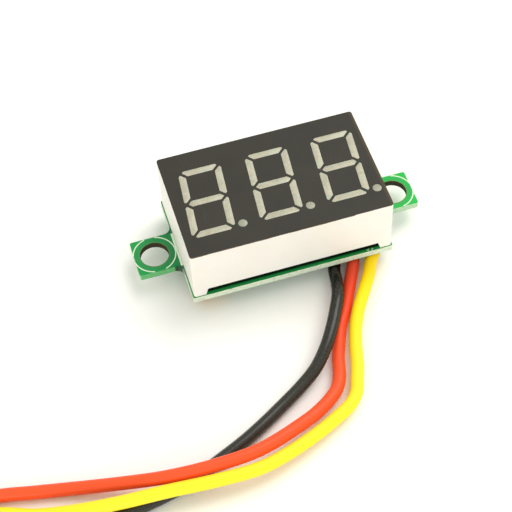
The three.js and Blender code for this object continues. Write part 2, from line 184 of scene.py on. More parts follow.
def noise_value(tree, vector, scale, detail=3.0, roughness=0.5, distortion=0.0):
    return add(tree, "ShaderNodeTexNoise", {
        "Vector": vector, "Scale": scale, "Detail": detail, "Roughness": roughness, "Distortion": distortion,
    }).outputs["Fac"]


def math_value(tree, operation, first, second=0.0, third=0.0):
    return add(tree, "ShaderNodeMath", {0: first, 1: second, 2: third}, operation=operation).outputs[0]


def ramp(tree, value, low, high, to_low=0.0, to_high=1.0):
    return add(tree, "ShaderNodeMapRange", {
        "Value": value, "From Min": low, "From Max": high, "To Min": to_low, "To Max": to_high,
    }).outputs["Result"]


VALUE = "NodeSocketFloat"
VECTOR = "NodeSocketVector"


def grain_group():
    """Fine moulding grain: broad mottling, fine grain and a height for bump."""
    tree, enter, leave = new_group("moulding_grain", [
        ("Vector", VECTOR, None), ("Scale", VALUE, 4000.0), ("Broad Scale", VALUE, 300.0),
    ], [("Grain", VALUE), ("Mottle", VALUE), ("Height", VALUE)])
    fine = noise_value(tree, enter.outputs["Vector"], enter.outputs["Scale"], 4.0, 0.6)
    broad = noise_value(tree, enter.outputs["Vector"], enter.outputs["Broad Scale"], 3.0, 0.5, 0.4)
    height = math_value(tree, "MULTIPLY_ADD", broad, 0.5, math_value(tree, "MULTIPLY", fine, 0.5))
    tree.links.new(ramp(tree, fine, 0.3, 0.7), leave.inputs["Grain"])
    tree.links.new(ramp(tree, broad, 0.3, 0.7), leave.inputs["Mottle"])
    tree.links.new(height, leave.inputs["Height"])
    return tree


def dust_group():
    """Sparse specks and short scuffs as a mask."""
    tree, enter, leave = new_group("dust_and_scuffs", [
        ("Vector", VECTOR, None), ("Scale", VALUE, 900.0), ("Cover", VALUE, 0.12), ("Stretch", VALUE, 5.0),
    ], [("Mask", VALUE)])
    cells = add(tree, "ShaderNodeTexVoronoi", {
        "Vector": enter.outputs["Vector"], "Scale": enter.outputs["Scale"], "Randomness": 1.0,
    })
    near = ramp(tree, cells.outputs["Distance"], 0.0, enter.outputs["Cover"], 1.0, 0.0)
    pick = ramp(tree, noise_value(tree, enter.outputs["Vector"], 260.0, 2.0), 0.52, 0.66)
    specks = math_value(tree, "MULTIPLY", near, pick)
    combine = add(tree, "ShaderNodeCombineXYZ", {"X": enter.outputs["Stretch"], "Y": 1.0, "Z": 1.0})
    stretched = add(tree, "ShaderNodeVectorMath", {
        0: enter.outputs["Vector"], 1: combine.outputs[0],
    }, operation="MULTIPLY")
    scratch = ramp(tree, noise_value(tree, stretched.outputs[0], 420.0, 5.0, 0.75, 0.6), 0.66, 0.74)
    faint = math_value(tree, "MULTIPLY", scratch, 0.35)
    tree.links.new(math_value(tree, "MAXIMUM", specks, faint), leave.inputs["Mask"])
    return tree


def weave_group():
    """Glass-cloth laminate: crossed threads, seen faintly through a coating or at a cut edge."""
    tree, enter, leave = new_group("glass_weave", [
        ("Vector", VECTOR, None), ("Thread", VALUE, 0.0005),
    ], [("Weave", VALUE), ("Fray", VALUE)])
    place = add(tree, "ShaderNodeSeparateXYZ", {0: enter.outputs["Vector"]})
    waves = []
    for axis in ("X", "Y"):
        turns = math_value(tree, "DIVIDE", place.outputs[axis], enter.outputs["Thread"])
        waves.append(math_value(tree, "SINE", math_value(tree, "MULTIPLY", turns, 2 * math.pi)))
    crossed = math_value(tree, "MULTIPLY_ADD", waves[0], waves[1], 0.5)
    uneven = noise_value(tree, enter.outputs["Vector"], 1500.0, 3.0)
    tree.links.new(math_value(tree, "MULTIPLY", crossed, uneven), leave.inputs["Weave"])
    fray = ramp(tree, noise_value(tree, enter.outputs["Vector"], 5200.0, 5.0, 0.7), 0.42, 0.62)
    tree.links.new(fray, leave.inputs["Fray"])
    return tree


def within_group():
    """Where a place lies in a box, softened at its sides. X is signed; Y and the mirrored Y count alike."""
    tree, enter, leave = new_group("within_a_box", [
        ("Vector", VECTOR, None), ("Centre", VECTOR, None), ("Half", VECTOR, None), ("Soft", VECTOR, None),
    ], [("Mask", VALUE)])
    place = add(tree, "ShaderNodeSeparateXYZ", {0: enter.outputs["Vector"]}).outputs
    y = math_value(tree, "ABSOLUTE", place["Y"])
    folded = add(tree, "ShaderNodeCombineXYZ", {"X": place["X"], "Y": y, "Z": place["Z"]})
    offset = add(tree, "ShaderNodeVectorMath", {0: folded.outputs[0], 1: enter.outputs["Centre"]},
                 operation="SUBTRACT")
    far = add(tree, "ShaderNodeVectorMath", {0: offset.outputs[0]}, operation="ABSOLUTE")
    past = add(tree, "ShaderNodeVectorMath", {0: far.outputs[0], 1: enter.outputs["Half"]},
               operation="SUBTRACT")
    share = add(tree, "ShaderNodeVectorMath", {0: past.outputs[0], 1: enter.outputs["Soft"]},
                operation="DIVIDE")
    sides = add(tree, "ShaderNodeSeparateXYZ", {0: share.outputs[0]}).outputs
    most = math_value(tree, "MAXIMUM", math_value(tree, "MAXIMUM", sides["X"], sides["Y"]), sides["Z"])
    tree.links.new(ramp(tree, most, 0.0, 1.0, 1.0, 0.0), leave.inputs["Mask"])
    return tree


GRAIN = grain_group()
DUST = dust_group()
WEAVE = weave_group()
WITHIN = within_group()


class Finish:
    """A material with one Principled shader, Object coordinates, and short calls for its layers."""

    def __init__(self, name, slot, colour, roughness, metallic=0.0, **sockets):
        self.material = bpy.data.materials.new(name)
        self.material.use_nodes = True
        self.slot = slot
        self.tree = self.material.node_tree
        self.shader = self.tree.nodes["Principled BSDF"]
        self.place = self.tree.nodes.new("ShaderNodeTexCoord").outputs["Object"]
        self.colour = add(self.tree, "ShaderNodeRGB").outputs[0]
        self.colour.default_value = (*colour, 1.0)
        self.tree.links.new(self.colour, self.shader.inputs["Base Color"])
        self.shader.inputs["Roughness"].default_value = roughness
        self.shader.inputs["Metallic"].default_value = metallic
        for label, value in sockets.items():
            self.shader.inputs[label.replace("_", " ")].default_value = value
        self.height = None

    def group(self, tree, **values):
        named = {"Vector": self.place, **{key.replace("_", " "): value for key, value in values.items()}}
        node = add(self.tree, "ShaderNodeGroup", None, node_tree=tree)
        for key, value in named.items():
            if isinstance(value, bpy.types.NodeSocket):
                self.tree.links.new(value, node.inputs[key])
            else:
                node.inputs[key].default_value = value
        return node.outputs

    def tint(self, mask, colour, most=1.0):
        """Mixes another colour over the present one by a mask."""
        scaled = math_value(self.tree, "MULTIPLY", mask, most)
        mix = add(self.tree, "ShaderNodeMix", {"Factor": scaled}, data_type="RGBA")
        self.tree.links.new(self.colour, mix.inputs["A"])
        mix.inputs["B"].default_value = (*colour, 1.0)
        self.colour = mix.outputs["Result"]
        self.tree.links.new(self.colour, self.shader.inputs["Base Color"])

    def rough(self, mask, smooth, coarse):
        self.tree.links.new(ramp(self.tree, mask, 0.0, 1.0, smooth, coarse), self.shader.inputs["Roughness"])

    def bump(self, height, depth):
        """Adds a layer of relief, its depth in millimetres."""
        node = add(self.tree, "ShaderNodeBump", {"Height": height, "Distance": depth * MM, "Strength": 1.0})
        if self.height is not None:
            self.tree.links.new(self.height, node.inputs["Normal"])
        self.height = node.outputs["Normal"]
        self.tree.links.new(self.height, self.shader.inputs["Normal"])


# ---- Finishes ----


def moulded(name, slot, colour, shade, roughness, scale=5000.0, depth=0.006, **sockets):
    """A plain moulded finish: fine grain, soft mottling and uneven gloss."""
    made = Finish(name, slot, colour, roughness, **sockets)
    grain = made.group(GRAIN, Scale=scale)
    made.tint(grain["Mottle"], shade, 0.5)
    made.rough(grain["Grain"], roughness - 0.06, roughness + 0.08)
    made.bump(grain["Height"], depth)
    return made


INK = (0.026, 0.023, 0.016)
INK_RIM = (0.050, 0.030, 0.014)
INK_WORN = (0.044, 0.039, 0.029)


def white_housing():
    """White plastic, with the black print of the face running a hair's breadth over its top edge."""
    made = moulded("white_plastic", "white_plastic", (0.86, 0.84, 0.78), (0.82, 0.79, 0.71), 0.42,
                   Subsurface_Weight=0.15, Subsurface_Scale=0.0012)
    dust = made.group(DUST, Scale=1400.0, Cover=0.09)
    made.tint(dust["Mask"], (0.55, 0.52, 0.45), 0.25)
    heights = add(made.tree, "ShaderNodeSeparateXYZ", {0: made.place}).outputs["Z"]
    wave = noise_value(made.tree, made.place, 420.0, 3.0, 0.6)
    edge = math_value(made.tree, "MULTIPLY_ADD", wave, 0.00016, (FACE - 0.2) * MM)
    lapped = made.group(WITHIN, Centre=(-0.003, 0.007, 0.01), Half=(0.0098, 0.001, 0.001),
                        Soft=(0.0002, 0.001, 0.001))
    lower = math_value(made.tree, "MULTIPLY_ADD", lapped["Mask"], -0.00009, edge)
    over = math_value(made.tree, "SUBTRACT", heights, lower)
    made.tint(ramp(made.tree, over, -0.00001, 0.00001), INK_RIM)
    return made


def black_print():
    """Black ink: fine grain, wear and dust, and a tint on the right-hand rim that stands in for light."""
    made = Finish("black_ink", "black_ink", INK, 0.5, Specular_IOR_Level=0.3)
    grain = made.group(GRAIN, Scale=6500.0, Broad_Scale=260.0)
    dust = made.group(DUST, Scale=1100.0, Cover=0.1)
    made.tint(grain["Mottle"], INK_WORN, 0.35)
    made.tint(dust["Mask"], (0.28, 0.26, 0.22), 0.3)
    rim = made.group(WITHIN, Centre=(0.0114, 0, 0.01), Half=(0.0003, 0.01, 0.01), Soft=(0.0003, 0.01, 0.01))
    made.tint(rim["Mask"], (0.085, 0.060, 0.020), 0.6)
    made.rough(grain["Grain"], 0.46, 0.6)
    made.bump(grain["Height"], 0.008)
    return made


def cloudy_epoxy(name, colour, shade):
    made = Finish(name, "milky_epoxy", colour, 0.4, Subsurface_Weight=0.25, Subsurface_Scale=0.0006,
                  Coat_Weight=0.15, Coat_Roughness=0.25)
    cloud = noise_value(made.tree, made.place, 900.0, 4.0, 0.65, 0.5)
    specks = noise_value(made.tree, made.place, 7000.0, 3.0, 0.6)
    made.tint(ramp(made.tree, cloud, 0.35, 0.65), shade, 0.7)
    made.tint(ramp(made.tree, specks, 0.5, 0.75), (0.86, 0.85, 0.76), 0.35)
    made.rough(ramp(made.tree, specks, 0.3, 0.7), 0.32, 0.5)
    made.bump(cloud, 0.015)
    return made


def green_mask(name, colour, shade):
    """Glossy solder mask over copper and glass cloth."""
    made = Finish(name, "green_board", colour, 0.35, Specular_IOR_Level=0.2)
    grain = made.group(GRAIN, Scale=3200.0, Broad_Scale=420.0)
    weave = made.group(WEAVE)
    dust = made.group(DUST, Scale=1500.0, Cover=0.08)
    made.tint(grain["Mottle"], shade, 0.6)
    made.tint(ramp(made.tree, weave["Weave"], 0.2, 0.7), shade, 0.1)
    made.tint(dust["Mask"], (0.5, 0.7, 0.5), 0.2)
    made.rough(grain["Grain"], 0.24, 0.38)
    made.bump(weave["Weave"], 0.002)
    made.bump(grain["Height"], 0.008)
    return made


def darken_board(made):
    """Tints that stand in for shade: near black under the display, and dark green at the ears' roots."""
    under = made.group(WITHIN, Centre=(0, 0, BOARD_TOP * MM), Half=(0.0112, 0.00658, 0.0001),
                       Soft=(0.0001, 0.00022, 0.0003))
    made.tint(under["Mask"], (0.001, 0.010, 0.004), 0.97)
    for side in (-1, 1):
        root = made.group(WITHIN, Centre=(side * 0.0118, 0.0029, 0.0023), Half=(0.0003, 0.0005, 0.0006),
                          Soft=(0.0002, 0.0002, 0.0002))
        made.tint(root["Mask"], (0.002, 0.030, 0.012), 0.93)


def shade_ears(made):
    """Painted light and shade on the ears, right brighter, left darker by the display; the hole rings are
    real colour.
    """
    # Painted light: the right ear is tinted brighter.
    right = made.group(WITHIN, Centre=(0.0138, 0, 0.0025), Half=(0.0024, 0.003, 0.0008),
                       Soft=(0.0004, 0.001, 0.001))
    made.tint(right["Mask"], (0.010, 0.52, 0.058), 0.7)
    # Painted shade: the left ear is tinted darker toward the display.
    left = made.group(WITHIN, Centre=(-0.0113, 0, BOARD_TOP * MM), Half=(0.0006, 0.004, 0.0002),
                      Soft=(0.0032, 0.0005, 0.0004))
    made.tint(left["Mask"], (0.012, 0.17, 0.062), 0.6)
    # The board's own colour: a darker ring and a brownish rim round each screw hole.
    place = add(made.tree, "ShaderNodeSeparateXYZ", {0: made.place}).outputs
    across = math_value(made.tree, "SUBTRACT", math_value(made.tree, "ABSOLUTE", place["X"]), SCREW_X * MM)
    flat = add(made.tree, "ShaderNodeCombineXYZ", {"X": across, "Y": place["Y"]}).outputs[0]
    out = add(made.tree, "ShaderNodeVectorMath", {0: flat}, operation="LENGTH").outputs["Value"]
    made.tint(ramp(made.tree, out, 0.0021, 0.0023, 1.0, 0.0), (0.03, 0.22, 0.08), 0.3)
    made.tint(ramp(made.tree, out, 0.00165, 0.00178, 1.0, 0.0), (0.16, 0.22, 0.06), 0.5)


def laminate_edge(name, colour, thread, ear_edge_shade=(0.0, 0.0)):
    """A sawn or drilled edge of the board: glass layers, frayed threads, and painted shade of darker green
    over the ears' edges.
    """
    made = Finish(name, "green_board", colour, 0.75, Specular_IOR_Level=0.3)
    weave = made.group(WEAVE, Thread=0.0004)
    heights = add(made.tree, "ShaderNodeSeparateXYZ", {0: made.place}).outputs["Z"]
    bands = math_value(made.tree, "SINE", math_value(made.tree, "MULTIPLY", heights, 2 * math.pi / 0.00014))
    uneven = noise_value(made.tree, made.place, 2400.0, 4.0, 0.7)
    layers = math_value(made.tree, "MULTIPLY", ramp(made.tree, bands, -0.4, 0.8), uneven)
    made.tint(layers, thread, 0.8)
    made.tint(weave["Fray"], thread, 0.6)
    made.tint(ramp(made.tree, uneven, 0.54, 0.66), tuple(c * 0.4 for c in colour), 0.5)
    # Painted shade: darker green over each ear's edges, by that ear's share.
    for side, ear_shade_share in zip((-1, 1), ear_edge_shade):
        ear = made.group(WITHIN, Centre=(side * 0.014, 0, 0.0023), Half=(0.0020, 0.0026, 0.0006),
                         Soft=(0.0002, 0.0002, 0.0002))
        made.tint(ear["Mask"], (0.075, 0.44, 0.13), ear_shade_share)
    made.bump(weave["Fray"], 0.03)
    made.bump(layers, 0.02)
    return made


def board_print():
    made = Finish("board_print", "green_board", (0.78, 0.88, 0.70), 0.55)
    grain = made.group(GRAIN, Scale=8000.0, Broad_Scale=1500.0)
    made.tint(grain["Mottle"], (0.55, 0.78, 0.52), 0.6)
    made.rough(grain["Grain"], 0.45, 0.7)
    made.bump(grain["Height"], 0.004)
    return made


def tinned(name="tinned_metal", slot="tinned_metal", colour=(0.74, 0.74, 0.72), shade=(0.5, 0.5, 0.49)):
    """Tin or solder: bright, with dull flow marks and faint pits."""
    made = Finish(name, slot, colour, 0.28, 1.0)
    flow = noise_value(made.tree, made.place, 1800.0, 4.0, 0.55, 1.2)
    pits = noise_value(made.tree, made.place, 9000.0, 3.0, 0.6)
    made.tint(ramp(made.tree, flow, 0.4, 0.7), shade, 0.6)
    made.rough(ramp(made.tree, flow, 0.3, 0.7), 0.2, 0.48)
    made.bump(flow, 0.02)
    made.bump(pits, 0.006)
    return made


def fired(name, slot, colour, shade):
    """Fired ceramic: fine pores and pale chips."""
    made = moulded(name, slot, colour, shade, 0.6, 9000.0, 0.01)
    dust = made.group(DUST, Scale=3000.0, Cover=0.14)
    made.tint(dust["Mask"], tuple(min(1.0, c * 1.5 + 0.05) for c in colour), 0.4)
    return made


def chip_moulding():
    made = moulded("black_moulding", "black_moulding", (0.022, 0.022, 0.024), (0.04, 0.04, 0.042),
                   0.55, 8000.0, 0.012)
    dust = made.group(DUST, Scale=2600.0, Cover=0.1)
    made.tint(dust["Mask"], (0.16, 0.16, 0.16), 0.5)
    return made


def vinyl(name, colour, shade, dust_colour, roughness, gloss, painted_sheen, root):
    """Extruded insulation: soft gloss, mottling and handling dust.

    Two tints are painted light and shade: a lighter painted sheen on the outer stretch, and darker painted
    shade near the board.
    """
    made = Finish(name, name, colour, roughness, Specular_IOR_Level=gloss)
    grain = made.group(GRAIN, Scale=2600.0, Broad_Scale=180.0)
    dust = made.group(DUST, Scale=1700.0, Cover=0.07)
    made.tint(grain["Mottle"], shade, 0.55)
    # Painted sheen: a lighter tint along each lead's outer stretch.
    sheen_stretch = made.group(WITHIN, Centre=(-0.03, 0.027, 0), Half=(0.05, 0.007, 0.01), Soft=(0.01, 0.010, 0.01))
    made.tint(sheen_stretch["Mask"], *painted_sheen)
    # Painted shade: a darker tint on each lead near the board.
    near = made.group(WITHIN, Centre=(0.005, 0.004, 0), Half=(0.01, 0.0035, 0.01), Soft=(0.01, 0.0035, 0.01))
    made.tint(near["Mask"], *root)
    # Lighter specks and short scuffs of dust, the insulation's own.
    made.tint(dust["Mask"], dust_colour, 0.22)
    made.rough(grain["Grain"], roughness - 0.05, roughness + 0.1)
    made.bump(grain["Height"], 0.006)
    return made


HOUSING_PLASTIC = white_housing()
FACE_INK = black_print()
SEGMENT_EPOXY = cloudy_epoxy("milky_epoxy", (0.48, 0.465, 0.34), (0.35, 0.34, 0.245))
DOT_EPOXY = cloudy_epoxy("milky_epoxy_dots", (0.33, 0.335, 0.24), (0.27, 0.275, 0.20))
BOARD_MASK = green_mask("green_board", (0.016, 0.34, 0.07), (0.012, 0.26, 0.058))
darken_board(BOARD_MASK)
shade_ears(BOARD_MASK)
TRACE_MASK = green_mask("green_over_copper", (0.055, 0.52, 0.15), (0.04, 0.42, 0.12))
# Painted shade on the ears' edges: strong on the left ear, faint on the right.
BOARD_EDGE = laminate_edge("laminate_edge", (0.60, 0.74, 0.52), (0.92, 0.97, 0.84), (0.9, 0.35))
darken_board(BOARD_EDGE)
# Painted shade: the screw holes' walls are coloured dark brown for the shade inside them.
HOLE_WALL = laminate_edge("hole_wall_painted_shade", (0.050, 0.040, 0.014), (0.025, 0.022, 0.008))
BOARD_PRINT = board_print()
LED_LAMINATE = moulded("white_laminate", "white_laminate", (0.74, 0.71, 0.62), (0.6, 0.58, 0.5), 0.6)
TIN = tinned()
CHIP_BLACK = chip_moulding()
BLUE_GLAZE = moulded("blue_ceramic", "blue_ceramic", (0.02, 0.07, 0.24), (0.015, 0.05, 0.18),
                     0.3, 6000.0, 0.006)
WHITE_CERAMIC = fired("white_ceramic", "white_ceramic", (0.74, 0.73, 0.68), (0.66, 0.64, 0.58))
BROWN_CERAMIC = fired("brown_ceramic", "brown_ceramic", (0.33, 0.20, 0.10), (0.27, 0.16, 0.08))
YELLOW_MOULDING = moulded("yellow_moulding", "yellow_moulding", (0.70, 0.36, 0.05), (0.6, 0.29, 0.035),
                          0.5, 7000.0, 0.01)
BRASS = tinned("brass", "brass", (0.66, 0.46, 0.17), (0.5, 0.32, 0.1))
# The last two tuples of each lead: a painted sheen on the outer stretch, then painted shade near the board.
BLACK_VINYL = vinyl("black_vinyl", (0.007, 0.007, 0.005), (0.014, 0.014, 0.010), (0.2, 0.2, 0.18), 0.24, 0.4,
                    ((0.032, 0.031, 0.021), 0.7), ((0.002, 0.002, 0.001), 0.95))
RED_VINYL = vinyl("red_vinyl", (0.95, 0.065, 0.012), (0.88, 0.045, 0.008), (1.0, 0.45, 0.3), 0.42, 0.3,
                  ((1.0, 0.13, 0.03), 0.45), ((0.45, 0.05, 0.02), 0.5))
YELLOW_VINYL = vinyl("yellow_vinyl", (1.0, 0.78, 0.002), (0.98, 0.68, 0.002), (1.0, 0.95, 0.3), 0.42, 0.2,
                     ((1.0, 0.85, 0.05), 0.6), ((0.9, 0.5, 0.0), 0.4))
TIE_FILM = moulded("white_tie", "white_tie", (0.82, 0.82, 0.80), (0.75, 0.75, 0.72), 0.4, 3000.0, 0.01,
                   Subsurface_Weight=0.2, Subsurface_Scale=0.0008)

# ---- Mesh helpers ----

WELD = 0.0005  # corners closer than this are one
CORNER_STEPS = 3  # faces round a rounded corner


def object_of(name, mesh):
    made = bpy.data.objects.new(name, mesh)
    bpy.context.scene.collection.objects.link(made)
    return made


def mesh_of(name, bm):
    mesh = bpy.data.meshes.new(name)
    bm.to_mesh(mesh)
    bm.free()
    return mesh


def evaluated(made):
    """The object's mesh with its modifiers applied, in place of the old one."""
    bpy.context.view_layer.update()
    graph = bpy.context.evaluated_depsgraph_get()
    mesh = bpy.data.meshes.new_from_object(made.evaluated_get(graph))
    made.modifiers.clear()
    made.data = mesh
    return made


def welded(mesh):
    bm = bmesh.new()
    bm.from_mesh(mesh)
    bmesh.ops.remove_doubles(bm, verts=bm.verts, dist=WELD)
    bmesh.ops.recalc_face_normals(bm, faces=bm.faces)
    bm.to_mesh(mesh)
    bm.free()
    return mesh


def finished(made, body, finishes, replaced=(), smooth_angle=35):
    """Scales a piece from millimetres to metres, with its finishes, its body and what it stands for."""
    made.data.transform(Matrix.Scale(MM, 4))
    finishes = finishes if isinstance(finishes, (list, tuple)) else [finishes]
    if not made.data.materials or len(made.data.materials) < len(finishes):
        made.data.materials.clear()
        for one in finishes:
            made.data.materials.append(one.material)
    if smooth_angle and made.type == "MESH":
        made.data.shade_smooth()
        made.data.set_sharp_from_angle(angle=math.radians(smooth_angle))
    if replaced:
        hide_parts(*replaced)
    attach(made, body)
    return made


def arc_points(x, y, radius, start, end, steps):
    """Points on an arc, its angles in degrees."""
    turns = [math.radians(start + (end - start) * i / steps) for i in range(steps + 1)]
    return [Vector((x + radius * math.cos(t), y + radius * math.sin(t))) for t in turns]


def rounded_rectangle(length, width, radius, steps=6):
    x, y = length / 2 - radius, width / 2 - radius
    corners = ((x, -y, -90), (x, y, 0), (-x, y, 90), (-x, -y, 180))
    return [p for cx, cy, start in corners for p in arc_points(cx, cy, radius, start, start + 90, steps)]


def rounded(points, radius):
    """A convex outline with each corner rounded off, limited by the sides that meet there."""
    made = []
    count = len(points)
    for i, corner in enumerate(points):
        before, after = points[i - 1] - corner, points[(i + 1) % count] - corner
        half = before.angle(after) / 2
        cut = min(radius / math.tan(half), 0.45 * before.length, 0.45 * after.length)
        start, end = corner + before.normalized() * cut, corner + after.normalized() * cut
        for j in range(CORNER_STEPS + 1):
            t = j / CORNER_STEPS
            made.append(start * (1 - t) ** 2 + corner * 2 * t * (1 - t) + end * t ** 2)
    return made


def grown(points, distance):
    """An anticlockwise convex outline with every side moved outwards."""
    made = []
    count = len(points)
    for i, corner in enumerate(points):
        before = (corner - points[i - 1]).normalized()
        after = (points[(i + 1) % count] - corner).normalized()
        out_before, out_after = Vector((before.y, -before.x)), Vector((after.y, -after.x))
        middle = (out_before + out_after).normalized()
        made.append(corner + middle * distance / max(0.3, middle.dot(out_after)))
    return made


def plate(name, outlines, bottom, top, bevel=0.0, bevel_steps=2):
    """A flat plate between two heights, its first outline cut by the others, with its rims rounded off."""
    curve = bpy.data.curves.new(name, "CURVE")
    curve.dimensions = "2D"
    curve.fill_mode = "BOTH"
    for outline in outlines:
        spline = curve.splines.new("POLY")
        spline.points.add(len(outline) - 1)
        for point, place in zip(spline.points, outline):
            point.co = (place.x, place.y, 0, 1)
        spline.use_cyclic_u = True
    curve.extrude = (top - bottom) / 2 - bevel
    curve.bevel_depth = bevel
    curve.bevel_resolution = bevel_steps - 1 if bevel else 0
    curve.offset = -bevel
    drawn = object_of(name + "_outline", curve)
    bpy.context.view_layer.update()
    graph = bpy.context.evaluated_depsgraph_get()
    mesh = bpy.data.meshes.new_from_object(drawn.evaluated_get(graph))
    bpy.data.objects.remove(drawn)
    mesh.materials.clear()
    mesh.transform(Matrix.Translation((0, 0, (top + bottom) / 2)))
    return object_of(name, welded(mesh))


def joined(name, parts):
    """Several mesh objects as one, keeping their materials in order."""
    bm = bmesh.new()
    mesh = bpy.data.meshes.new(name)
    for made, finish in parts:
        slot = mesh.materials.find(finish.material.name)
        if slot < 0:
            mesh.materials.append(finish.material)
            slot = len(mesh.materials) - 1
        first = len(bm.faces)
        bm.from_mesh(made.data)
        bm.faces.ensure_lookup_table()
        for face in bm.faces[first:]:
            face.material_index = slot
        bpy.data.objects.remove(made)
    bm.to_mesh(mesh)
    bm.free()
    return object_of(name, mesh)


def slab(name, low, high, bevel, steps=2, taper=0.0):
    """A box between two corners with its edges rounded, and its lower face drawn in by a taper."""
    bm = bmesh.new()
    bmesh.ops.create_cube(bm, size=1)
    low, high = Vector(low), Vector(high)
    for vert in bm.verts:
        pull = taper if vert.co.z < 0 else 0.0
        side = [math.copysign(1, c) for c in vert.co]
        vert.co = Vector(((low[i] + high[i]) / 2 + vert.co[i] * (high[i] - low[i]) for i in range(3)))
        vert.co.x -= side[0] * pull
        vert.co.y -= side[1] * pull
    bmesh.ops.bevel(bm, geom=bm.edges[:], offset=bevel, segments=steps, profile=0.5, affect="EDGES")
    return object_of(name, mesh_of(name, bm))


def lathe(name, profile, steps=24):
    """A turned piece about Z from a profile of (radius, height) that starts and ends on the axis."""
    bm = bmesh.new()
    rings = []
    for radius, height in profile:
        if radius < 1e-6:
            rings.append([bm.verts.new((0, 0, height))])
            continue
        rings.append([
            bm.verts.new((radius * math.cos(2 * math.pi * i / steps),
                          radius * math.sin(2 * math.pi * i / steps), height))
            for i in range(steps)
        ])
    for lower, upper in zip(rings, rings[1:]):
        for i in range(steps):
            j = (i + 1) % steps
            corners = [lower[i % len(lower)], lower[j % len(lower)],
                       upper[j % len(upper)], upper[i % len(upper)]]
            unique = list(dict.fromkeys(corners))
            if len(unique) > 2:
                bm.faces.new(unique)
    bmesh.ops.recalc_face_normals(bm, faces=bm.faces)
    return object_of(name, mesh_of(name, bm))


def swept(name, path, section):
    """A section carried along a path in space, its sides kept upright, with capped ends."""
    bm = bmesh.new()
    rings = []
    for i, place in enumerate(path):
        ahead = path[min(i + 1, len(path) - 1)]
        behind = path[max(i - 1, 0)]
        along = (ahead - behind).normalized()
        reference = Vector((0, 0, 1)) if abs(along.z) < 0.95 else Vector((0, 1, 0))
        side = along.cross(reference).normalized()
        up = side.cross(along)
        rings.append([bm.verts.new(place + side * a + up * b) for a, b in section])
    for first, second in zip(rings, rings[1:]):
        for k in range(len(section)):
            m = (k + 1) % len(section)
            bm.faces.new((first[k], first[m], second[m], second[k]))
    bm.faces.new(rings[0])
    bm.faces.new(rings[-1])
    bmesh.ops.recalc_face_normals(bm, faces=bm.faces)
    return object_of(name, mesh_of(name, bm))


def cut_away(made, cutter):
    """Takes one solid out of another."""
    tool = made.modifiers.new("cut", "BOOLEAN")
    tool.operation = "DIFFERENCE"
    tool.solver = "EXACT"
    tool.object = cutter
    evaluated(made)
    bpy.data.objects.remove(cutter)
    return made


# ---- Geometry Nodes: copies on a grid ----


def grid_tree():
    """Copies of a shape on a grid centred on a point, less one copy by its number."""
    tree = bpy.data.node_groups.new("copies_on_a_grid", "GeometryNodeTree")
    sockets = {}
    for label, kind, value in (
        ("Shape", "NodeSocketGeometry", None), ("Across", "NodeSocketInt", 2), ("Along", "NodeSocketInt", 1),
        ("Pitch Across", VALUE, 1.0), ("Pitch Along", VALUE, 1.0), ("Centre", VECTOR, None),
        ("Left Out", "NodeSocketInt", -1), ("Finish", "NodeSocketMaterial", None),
    ):
        sockets[label] = tree.interface.new_socket(label, in_out="INPUT", socket_type=kind)
        if value is not None:
            sockets[label].default_value = value
    tree.interface.new_socket("Copies", in_out="OUTPUT", socket_type="NodeSocketGeometry")
    enter = tree.nodes.new("NodeGroupInput").outputs
    leave = tree.nodes.new("NodeGroupOutput")

    def row(count, pitch, direction):
        step = add(tree, "ShaderNodeCombineXYZ", {direction: pitch})
        back = math_value(tree, "MULTIPLY", math_value(tree, "SUBTRACT", count, 1.0), -0.5)
        start = add(tree, "ShaderNodeVectorMath", {0: step.outputs[0], "Scale": back}, operation="SCALE")
        return add(tree, "GeometryNodeMeshLine", {
            "Count": count, "Start Location": start.outputs[0], "Offset": step.outputs[0],
        }, mode="OFFSET").outputs[0]

    across = row(enter["Across"], enter["Pitch Across"], "X")
    along = row(enter["Along"], enter["Pitch Along"], "Y")
    lines = add(tree, "GeometryNodeInstanceOnPoints", {"Points": along, "Instance": across})
    points = add(tree, "GeometryNodeRealizeInstances", {0: lines.outputs[0]})
    number = add(tree, "GeometryNodeInputIndex")
    left_out = add(tree, "FunctionNodeCompare", {2: number.outputs[0], 3: enter["Left Out"]},
                   data_type="INT", operation="EQUAL")
    kept = add(tree, "GeometryNodeDeleteGeometry",
               {"Geometry": points.outputs[0], "Selection": left_out.outputs[0]}, domain="POINT")
    moved = add(tree, "GeometryNodeSetPosition", {"Geometry": kept.outputs[0], "Offset": enter["Centre"]})
    copies = add(tree, "GeometryNodeInstanceOnPoints",
                 {"Points": moved.outputs[0], "Instance": enter["Shape"]})
    real = add(tree, "GeometryNodeRealizeInstances", {0: copies.outputs[0]})
    painted = add(tree, "GeometryNodeSetMaterial", {"Geometry": real.outputs[0], "Material": enter["Finish"]})
    tree.links.new(painted.outputs[0], leave.inputs[0])
    return tree, {label: socket.identifier for label, socket in sockets.items()}


GRID, GRID_SOCKETS = grid_tree()


def copies(made, finish, across, along, pitch_across, pitch_along, centre, left_out=-1):
    """The shape repeated on a grid by Geometry Nodes, as a plain mesh."""
    tool = made.modifiers.new("copies", "NODES")
    tool.node_group = GRID
    values = {
        "Across": across, "Along": along, "Pitch Across": pitch_across, "Pitch Along": pitch_along,
        "Centre": centre, "Left Out": left_out, "Finish": finish.material,
    }
    for label, value in values.items():
        tool[GRID_SOCKETS[label]] = value
    return evaluated(made)


# ---- Display ----


